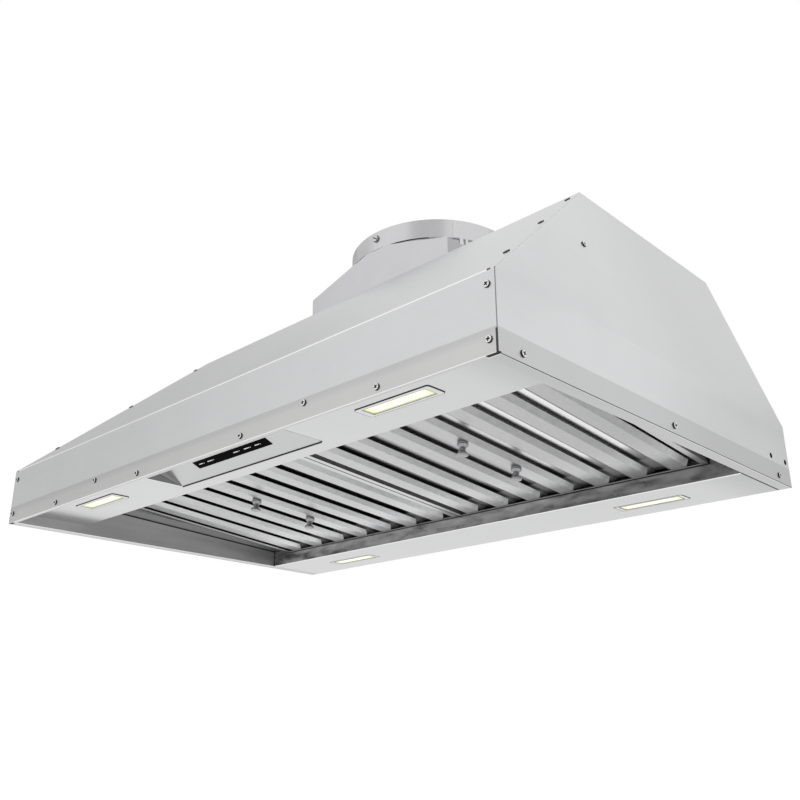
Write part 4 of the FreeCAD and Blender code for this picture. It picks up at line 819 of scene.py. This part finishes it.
# Baffle filters
# Each filter is a channel frame with a row of open channels below and a row of hoods over the gaps above.
# All of it is bright stainless, its cut edges painted black as shade, and two spool knobs are screwed to
# the middle channel.
# Painted shade darkens the hoods' rear ends and the frames' ends and walls, and each channel's flank has a
# painted highlight there.
FILTER_TILT = math.radians(4.8)
HINGE = Vector((0.0, LIP_FACE, 0.0185))
BAFFLE_FOLD = 0.00042
BAFFLE_GRAIN = (0.004, 0.009, 0.004)
KNOB_SIDE = 0.1925
KNOB_SHIFT = -0.0015
KNOB_BACK = 0.22
KNOB_PITCH = 0.1024
KNOB_RISE = 0.0013
FRAME_END = 0.384
FRAME_GAP = 0.0020
SHADE_LINE = 0.150
FACET_LINE = 0.168
FRAME_FLANGE = 0.0055
FRAME_WIDTH = 0.012
# A darker line painted near the frames' rear: painted shade.
frame_steel = brushed("frame_steel", (0.62, 0.622, 0.626), 0.28, GRAIN_BACK, bands=(
    (BACK, 0.1740, 0.1780, (0.72, 0.72, 0.72)),
))
# The channels' steel is darker towards the right, painted shade, and lighter towards the rear, painted
# light.
baffle_steel = brushed("baffle_steel", (0.58, 0.582, 0.586), 0.33, BAFFLE_GRAIN,
                       streak=0.34, cloud=0.12,
                       bands=((RIGHT, -0.05, 0.25, (0.92, 0.92, 0.92)),
                              (BACK, 0.05, 0.165, (1.38, 1.38, 1.38))))
# The hoods' steel is darker towards the left, most on the left filter, and darker towards the rear: painted
# shade.
hood_steel = brushed("hood_steel", (0.97, 0.97, 0.975), 0.28, GRAIN_BACK, streak=0.05, bands=(
    (RIGHT, 0.29, 0.12, (0.50, 0.50, 0.50)),
    (RIGHT, 0.12, 0.00, (0.35, 0.35, 0.35)),
    (BACK, 0.096, 0.118, (0.5, 0.5, 0.5)),
))
# A lighter steel for the flanks' rear ends: a painted highlight.
flank_highlight = brushed("flank_highlight", (0.86, 0.86, 0.865), 0.36, BAFFLE_GRAIN, streak=0.2, cloud=0.12)
shade_steel = brushed("shade_steel", (0.22, 0.22, 0.222), 0.5, GRAIN_BACK,
                      streak=0.1, cloud=0.3, metallic=0.2)
knob_nickel = brushed("knob_nickel", (0.33, 0.33, 0.34), 0.18, (0.01, 0.01, 0.0006), streak=0.15)
KNOB_PROFILE = (
    (0.0000, 0.0000), (0.0058, 0.0000), (0.0066, -0.0010), (0.0069, -0.0026), (0.0066, -0.0040),
    (0.0050, -0.0060), (0.0042, -0.0070), (0.0033, -0.0073), (0.0033, -0.0079), (0.0037, -0.0083),
    (0.0037, -0.0100), (0.0042, -0.0114), (0.0056, -0.0130), (0.0067, -0.0141), (0.0072, -0.0150),
    (0.0072, -0.0158), (0.0066, -0.0166), (0.0050, -0.0170), (0.0022, -0.0169), (0.0000, -0.0166),
)


# A solid turned from a profile of radius and height round its own upright axis.
def turned(name, profile, steps):
    bpy.ops.object.select_all(action="DESELECT")
    bpy.ops.mesh.primitive_plane_add(size=0.001)
    piece = bpy.context.object
    piece.name = name
    bpy.ops.object.mode_set(mode="EDIT")
    bpy.ops.mesh.select_mode(type="VERT")
    bpy.ops.mesh.select_all(action="SELECT")
    bpy.ops.mesh.merge(type="CENTER")
    bpy.ops.transform.translate(value=(profile[0][0], 0, profile[0][1]))
    for here, there in zip(profile, profile[1:]):
        bpy.ops.mesh.extrude_region_move(
            TRANSFORM_OT_translate={"value": (there[0] - here[0], 0, there[1] - here[1])})
    bpy.ops.mesh.select_all(action="SELECT")
    bpy.ops.mesh.spin(steps=steps, angle=2 * math.pi, center=(0, 0, 0), axis=(0, 0, 1))
    bpy.ops.mesh.select_all(action="SELECT")
    bpy.ops.mesh.remove_doubles(threshold=WELD_GAP)
    bpy.ops.mesh.normals_make_consistent(inside=False)
    bpy.ops.object.mode_set(mode="OBJECT")
    bpy.ops.object.shade_smooth_by_angle(angle=math.radians(35))
    return piece


knob = turned("knob", KNOB_PROFILE, 32)
knob.data.materials.append(knob_nickel)
for side, way in (("left", -1), ("right", 1)):
    node_name = "filter_frame_" + side
    filter_frame = shell_of(node_name, node_name + "_sheet")
    score(filter_frame, (-FRAME_END + FRAME_GAP, 0, 0), RIGHT)
    score(filter_frame, (FRAME_FLANGE, 0, 0), RIGHT)
    round_over(filter_frame, SLIM_FOLD, frame_steel, frame_steel)
    # Painted shade on the frames: black at the left filter's outer end, and dark at the rear and between
    # the filters.
    dress(filter_frame, slit_and_shade_black, lambda face: face.center.x < -FRAME_END + FRAME_GAP)
    dress(filter_frame, shade_steel, lambda face: face.normal.y < -0.7 and face.center.y > SHADE_LINE)
    dress(filter_frame, shade_steel, lambda face: face.normal.x > 0.7 and 0 < face.center.x < FRAME_WIDTH)
    dress(filter_frame, seam_and_shade_dark, lambda face: FRAME_FLANGE < face.center.x < FRAME_WIDTH)
    for row, steel in (("lower", baffle_steel), ("upper", hood_steel)):
        node_name = "filter_%s_baffles_%s" % (row, side)
        baffles = shell_of(node_name, node_name + "_sheet")
        score(baffles, (0, SHADE_LINE, 0), BACK)
        score(baffles, (0, FACET_LINE, 0), BACK)
        # The baffles' edges are painted black as shade, except those that face down and not to the left.
        round_over(baffles, BAFFLE_FOLD, steel, slit_and_shade_black)
        dress(baffles, steel, lambda face: is_edge(face) and face.normal.z < -0.3 and face.normal.x > -0.3)
        # Painted shade on the hoods' plain faces at the rear, and a painted highlight on the channels'
        # flanks there.
        if row == "upper":
            dress(baffles, shade_steel, lambda face: is_plain(face) and face.center.y > SHADE_LINE)
        else:
            dress(baffles, flank_highlight, lambda face: face.center.y > FACET_LINE and face.normal.x > 0.3
                  and face.normal.z < 0.0)
    tilt = Matrix.Rotation(-FILTER_TILT, 3, "X")
    spots = []
    for back in (KNOB_BACK, KNOB_BACK - KNOB_PITCH):
        along = Vector((way * KNOB_SIDE + KNOB_SHIFT, -back, KNOB_RISE))
        spots.append((HINGE + tilt @ along, tilt @ Vector(UP)))
    pair = set_on(knob, "filter_knob_pair_" + side, spots)
    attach(pair, "filter_" + side)
    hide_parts("filter_knobs_" + side)
take(knob)
bpy.ops.object.delete()

# Outlet
# A galvanised transition box on the top carries the rolled neck and the round collar for the duct.
# Three thin strips are the laps of the neck and the collar. A black line under the collar's foot is a
# painted shadow, the box's right side takes a shaded copy of the zinc, and the neck darkens towards the
# right as painted shade.
# Two flaps swing on a rod across the collar, and the rod has a slotted head at each end.
ZINC_GRAIN = (0.02, 0.02, 0.02)
COLLAR_AXIS = Vector((0.0, 0.1375, 0.4067))
COLLAR_FOOT = 0.3888
COLLAR_RADIUS = 0.127
COLLAR_LAP = 0.0290
NECK_RADIUS = 0.1267
NECK_LAP = 0.0250
LAP_THICKNESS = 0.0008
LAP_EDGE = 0.0003
SHOULDER_SLOPE = math.radians(16.4)
SHOULDER_POINT = Vector((-0.1375, 0.0, 0.3528))
# Where the painted shadow line under the collar's foot lies and runs.
DARK_LINE = COLLAR_FOOT - 0.0012
DARK_START = -0.042
DARK_END = 0.02
NECK_DARK_END = 0.08
ROD_EDGE = 0.0006
ROD_HALF = 0.1298
ROD_SLOT = (0.0085, 0.0026, 0.0016)
ROD_TURN = 0.6
shade_zinc = brushed("shade_zinc", (0.47, 0.47, 0.48), 0.34, ZINC_GRAIN, cloud=0.08)
zinc = brushed("zinc", (0.62, 0.62, 0.635), 0.34, ZINC_GRAIN, cloud=0.08)
collar_steel = brushed("collar_steel", (0.62, 0.62, 0.63), 0.26, (0.006, 0.006, 0.0008), streak=0.05)
# The neck's zinc is darker towards the right: painted shade under the collar.
neck_zinc = brushed("neck_zinc", (0.62, 0.62, 0.635), 0.34, ZINC_GRAIN, cloud=0.08, bands=(
    (RIGHT, 0.060, 0.090, (0.76, 0.76, 0.76)),
))
lap_zinc = brushed("lap_zinc", (0.64, 0.64, 0.65), 0.3, ZINC_GRAIN, cloud=0.08)
transition = shell_of("transition_box", "transition_box_sheet")
shoulder_up = Vector((-math.sin(SHOULDER_SLOPE), 0.0, math.cos(SHOULDER_SLOPE)))
score(transition, (DARK_START, 0, 0), RIGHT)
score(transition, SHOULDER_POINT, shoulder_up)
score(transition, (0, 0, DARK_LINE), UP)
round_over(transition, SHEET_FOLD, zinc, zinc)
dress(transition, shade_zinc, lambda face: face.normal.x > 0.9)
# A black painted shadow line along the top of the box's front, under the collar.
dress(transition, slit_and_shade_black, lambda face: face.normal.y < -0.2 and DARK_START < face.center.x < DARK_END
      and ((face.center - SHOULDER_POINT).dot(shoulder_up) > 0 or face.center.z > DARK_LINE))
neck = shell_of("duct_neck", "duct_neck_sheet")
score(neck, (0, 0, DARK_LINE), UP)
round_over(neck, PLATE_EDGE, neck_zinc, neck_zinc, clamp=True)
# The neck's top edge is painted black, except at the right: a painted shadow under the collar.
dress(neck, slit_and_shade_black, lambda face: face.center.z > DARK_LINE and face.center.x < NECK_DARK_END)
folded("duct_collar", SLIM_FOLD, collar_steel, clamp=True)


# The lap of a rolled sheet: a thin upright strip on the outside of the neck or the collar.
def lap_seam(name, radius, azimuth, width, foot, height):
    around = math.radians(azimuth)
    middle = Vector((radius * math.cos(around), COLLAR_AXIS.y + radius * math.sin(around),
                     foot + height / 2))
    place = Matrix.Translation(middle) @ Matrix.Rotation(around, 4, "Z")
    lap = slim_strip(name, (LAP_THICKNESS, width, height), place, LAP_EDGE, lap_zinc)
    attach(lap, "hood")


lap_seam("collar_lap", COLLAR_RADIUS, -34.0, 0.0088, COLLAR_FOOT, COLLAR_LAP)
lap_seam("neck_lap_front", NECK_RADIUS, -30.3, 0.0058, COLLAR_FOOT - NECK_LAP, NECK_LAP)
lap_seam("neck_lap_rear", NECK_RADIUS, -26.6, 0.0044, COLLAR_FOOT - NECK_LAP, NECK_LAP)
# The rod's rounded edges and the slots in its heads are painted near black: painted shade.
rod = folded("damper_rod", ROD_EDGE, collar_steel, edge=recess_black, clamp=True)
for way in (-1, 1):
    end = COLLAR_AXIS + Vector((0.0, way * ROD_HALF, 0.0))
    cut_slot(rod, ROD_SLOT, Matrix.Translation(end) @ Matrix.Rotation(ROD_TURN, 4, "Y"), recess_black)
flap_zinc = brushed("flap_zinc", (0.6, 0.6, 0.61), 0.3, GRAIN_BACK)
folded("damper_flap_left", FINE_EDGE, flap_zinc, clamp=True)
folded("damper_flap_right", FINE_EDGE, flap_zinc, clamp=True)

# Blowers
# Two double inlet blowers stand side by side under the outlet: galvanised scrolls, black wheels and motors.
# The motors hang in their wheels on brackets across the inlets.
MOTOR_EDGE = 0.0008
scroll_zinc = brushed("scroll_zinc", (0.5, 0.5, 0.51), 0.4, EVEN_GRAIN, streak=0.2, cloud=0.1)
wheel_black = coated("wheel_black", (0.03, 0.03, 0.032), 0.45)
for side in ("left", "right"):
    folded("scroll_housing_" + side, SHEET_FOLD, scroll_zinc, clamp=True)
    folded("motor_bracket_" + side, SLIM_FOLD, scroll_zinc, clamp=True)
    folded("impeller_" + side, FINE_EDGE, wheel_black, edge=wheel_black, clamp=True)
    folded("blower_motor_" + side, MOTOR_EDGE, wheel_black, edge=wheel_black, clamp=True)
    folded("motor_shaft_" + side, PLATE_EDGE, screw_steel, clamp=True)

# Supply and lamp driver
# A galvanised junction box with a cover hangs under the top and takes the supply through a black bush.
# The driver that feeds the lamps is a white plastic case with rounded corners.
DRIVER_CORNER = 0.002
folded("junction_box", SHEET_FOLD, scroll_zinc, clamp=True)
folded("junction_cover", SHEET_FOLD, scroll_zinc, clamp=True)
folded("supply_bush", SLIM_FOLD, black_plastic, edge=black_plastic, clamp=True)
folded("lamp_driver", DRIVER_CORNER, tray_white, edge=tray_white)

# Studio
# A pale floor below the hood and soft light from all round, with a few grey cards that the steel mirrors.
# The floor is clear from its underside, so that the filters can be looked at from straight below.
FLOOR_LEVEL = -0.9
FLOOR_SIZE = 60.0
FLOOR_GLOW = 0.52
SKY_LIGHT = 0.5
CARD_DISTANCE = 4.0
CAMERA_PLACE = (0.845818, -0.833546, -0.295326)
CAMERA_TURN = Matrix(((0.71102664, 0.2404657, 0.66077029), (0.70315998, -0.24673131, -0.66685059),
                      (0.00267803, 0.93877575, -0.34451839)))
bpy.ops.object.select_all(action="DESELECT")
bpy.ops.mesh.primitive_plane_add(size=FLOOR_SIZE, location=(0, 0, FLOOR_LEVEL))
floor = bpy.context.object
floor.name = "floor"


# Two masks: one for the rays that come straight from the eye, one for those by way of metal and glass.
def seen_directly(tree):
    n = tree.nodes
    path = n.new("ShaderNodeLightPath")
    shiny = n.new("ShaderNodeMath")
    shiny.operation = "MAXIMUM"
    tree.links.new(path.outputs["Is Glossy Ray"], shiny.inputs[0])
    tree.links.new(path.outputs["Is Transmission Ray"], shiny.inputs[1])
    return path.outputs["Is Camera Ray"], shiny.outputs[0]


world = bpy.data.worlds.new("studio")
world.use_nodes = True
bpy.context.scene.world = world
sky_tree = world.node_tree
sky = sky_tree.nodes["Background"]
sky.inputs["Color"].default_value = (1, 1, 1, 1)
camera_ray, shiny_ray = seen_directly(sky_tree)
either = sky_tree.nodes.new("ShaderNodeMath")
either.operation = "MAXIMUM"
sky_tree.links.new(camera_ray, either.inputs[0])
sky_tree.links.new(shiny_ray, either.inputs[1])
sky_level = sky_tree.nodes.new("ShaderNodeMapRange")
sky_level.inputs["To Min"].default_value = SKY_LIGHT
sky_level.inputs["To Max"].default_value = 1.0
sky_tree.links.new(either.outputs[0], sky_level.inputs["Value"])
sky_tree.links.new(sky_level.outputs["Result"], sky.inputs["Strength"])

floor_paint = bpy.data.materials.new("floor_paint")
floor_paint.use_nodes = True
tree = floor_paint.node_tree
matt = tree.nodes["Principled BSDF"]
matt.inputs["Base Color"].default_value = (0.6, 0.6, 0.6, 1)
matt.inputs["Roughness"].default_value = 1.0
matt.inputs["Specular IOR Level"].default_value = 0.0
matt.inputs["Emission Color"].default_value = (1, 1, 1, 1)
matt.inputs["Emission Strength"].default_value = FLOOR_GLOW
white = tree.nodes.new("ShaderNodeEmission")
white.inputs["Color"].default_value = (1, 1, 1, 1)
blend = tree.nodes.new("ShaderNodeMixShader")
shiny_ray = seen_directly(tree)[1]
tree.links.new(shiny_ray, blend.inputs["Fac"])
tree.links.new(matt.outputs[0], blend.inputs[1])
tree.links.new(white.outputs[0], blend.inputs[2])
under = tree.nodes.new("ShaderNodeNewGeometry")
clear = tree.nodes.new("ShaderNodeBsdfTransparent")
one_sided = tree.nodes.new("ShaderNodeMixShader")
tree.links.new(under.outputs["Backfacing"], one_sided.inputs["Fac"])
tree.links.new(blend.outputs[0], one_sided.inputs[1])
tree.links.new(clear.outputs[0], one_sided.inputs[2])
tree.links.new(one_sided.outputs[0], tree.nodes["Material Output"].inputs["Surface"])
floor.data.materials.append(floor_paint)


# A point in the studio, from azimuth and elevation in degrees and a distance from the hood.
def towards(azimuth, elevation, distance):
    around = math.radians(azimuth)
    above = math.radians(elevation)
    flat = math.cos(above)
    return distance * Vector((math.cos(around) * flat, math.sin(around) * flat, math.sin(above)))


# A grey card in the studio, seen only in reflections.
def card(name, centre, facing, width, height, level):
    bpy.ops.object.select_all(action="DESELECT")
    bpy.ops.mesh.primitive_plane_add(size=1.0)
    sheet = bpy.context.object
    sheet.name = name
    sheet.scale = (width, height, 1.0)
    sheet.rotation_mode = "QUATERNION"
    sheet.rotation_quaternion = Vector(facing).to_track_quat("Z", "Y")
    sheet.location = centre
    bpy.ops.object.transform_apply(location=True, rotation=True, scale=True)
    paint = bpy.data.materials.new(name + "_paint")
    paint.use_nodes = True
    glow = paint.node_tree.nodes.new("ShaderNodeEmission")
    glow.inputs["Color"].default_value = (1, 1, 1, 1)
    glow.inputs["Strength"].default_value = level
    paint.node_tree.links.new(glow.outputs[0], paint.node_tree.nodes["Material Output"].inputs["Surface"])
    sheet.data.materials.append(paint)
    sheet.visible_camera = False
    sheet.visible_diffuse = False
    sheet.visible_shadow = False


for name, azimuth, elevation, width, height, level in (
    ("card_left", 200, 22, 2.4, 2.0, 0.66),
    ("card_slope", 155, 28, 2.75, 2.0, 0.56),
    ("card_right", 77, 14, 1.6, 1.4, 0.68),
    ("card_front", 305, 32, 2.9, 1.8, 0.68),
    ("card_corner", 46, 34, 0.6, 0.9, 0.6),
):
    place = towards(azimuth, elevation, CARD_DISTANCE)
    card(name, place, -place, width, height, level)
card("card_floor", (0.2, 1.0, FLOOR_LEVEL + 0.02), (0, 0, 1), 1.3, 1.0, 0.6)

key = bpy.data.lights.new("key", "SUN")
key.energy = 1.4
key.angle = math.radians(40)
key_object = bpy.data.objects.new("key", key)
key_object.rotation_euler = (math.radians(35), 0, math.radians(-20))
key_object.visible_glossy = False
bpy.context.scene.collection.objects.link(key_object)

camera = bpy.data.cameras.new("camera")
camera_object = bpy.data.objects.new("camera", camera)
bpy.context.scene.collection.objects.link(camera_object)
camera.sensor_width = 36.0
camera.lens = 41.67
camera.shift_x = 0.0246
camera.shift_y = 0.00875
camera_object.matrix_world = Matrix.Translation(CAMERA_PLACE) @ CAMERA_TURN.to_4x4()
bpy.context.scene.camera = camera_object
bpy.context.scene.view_settings.view_transform = "Standard"
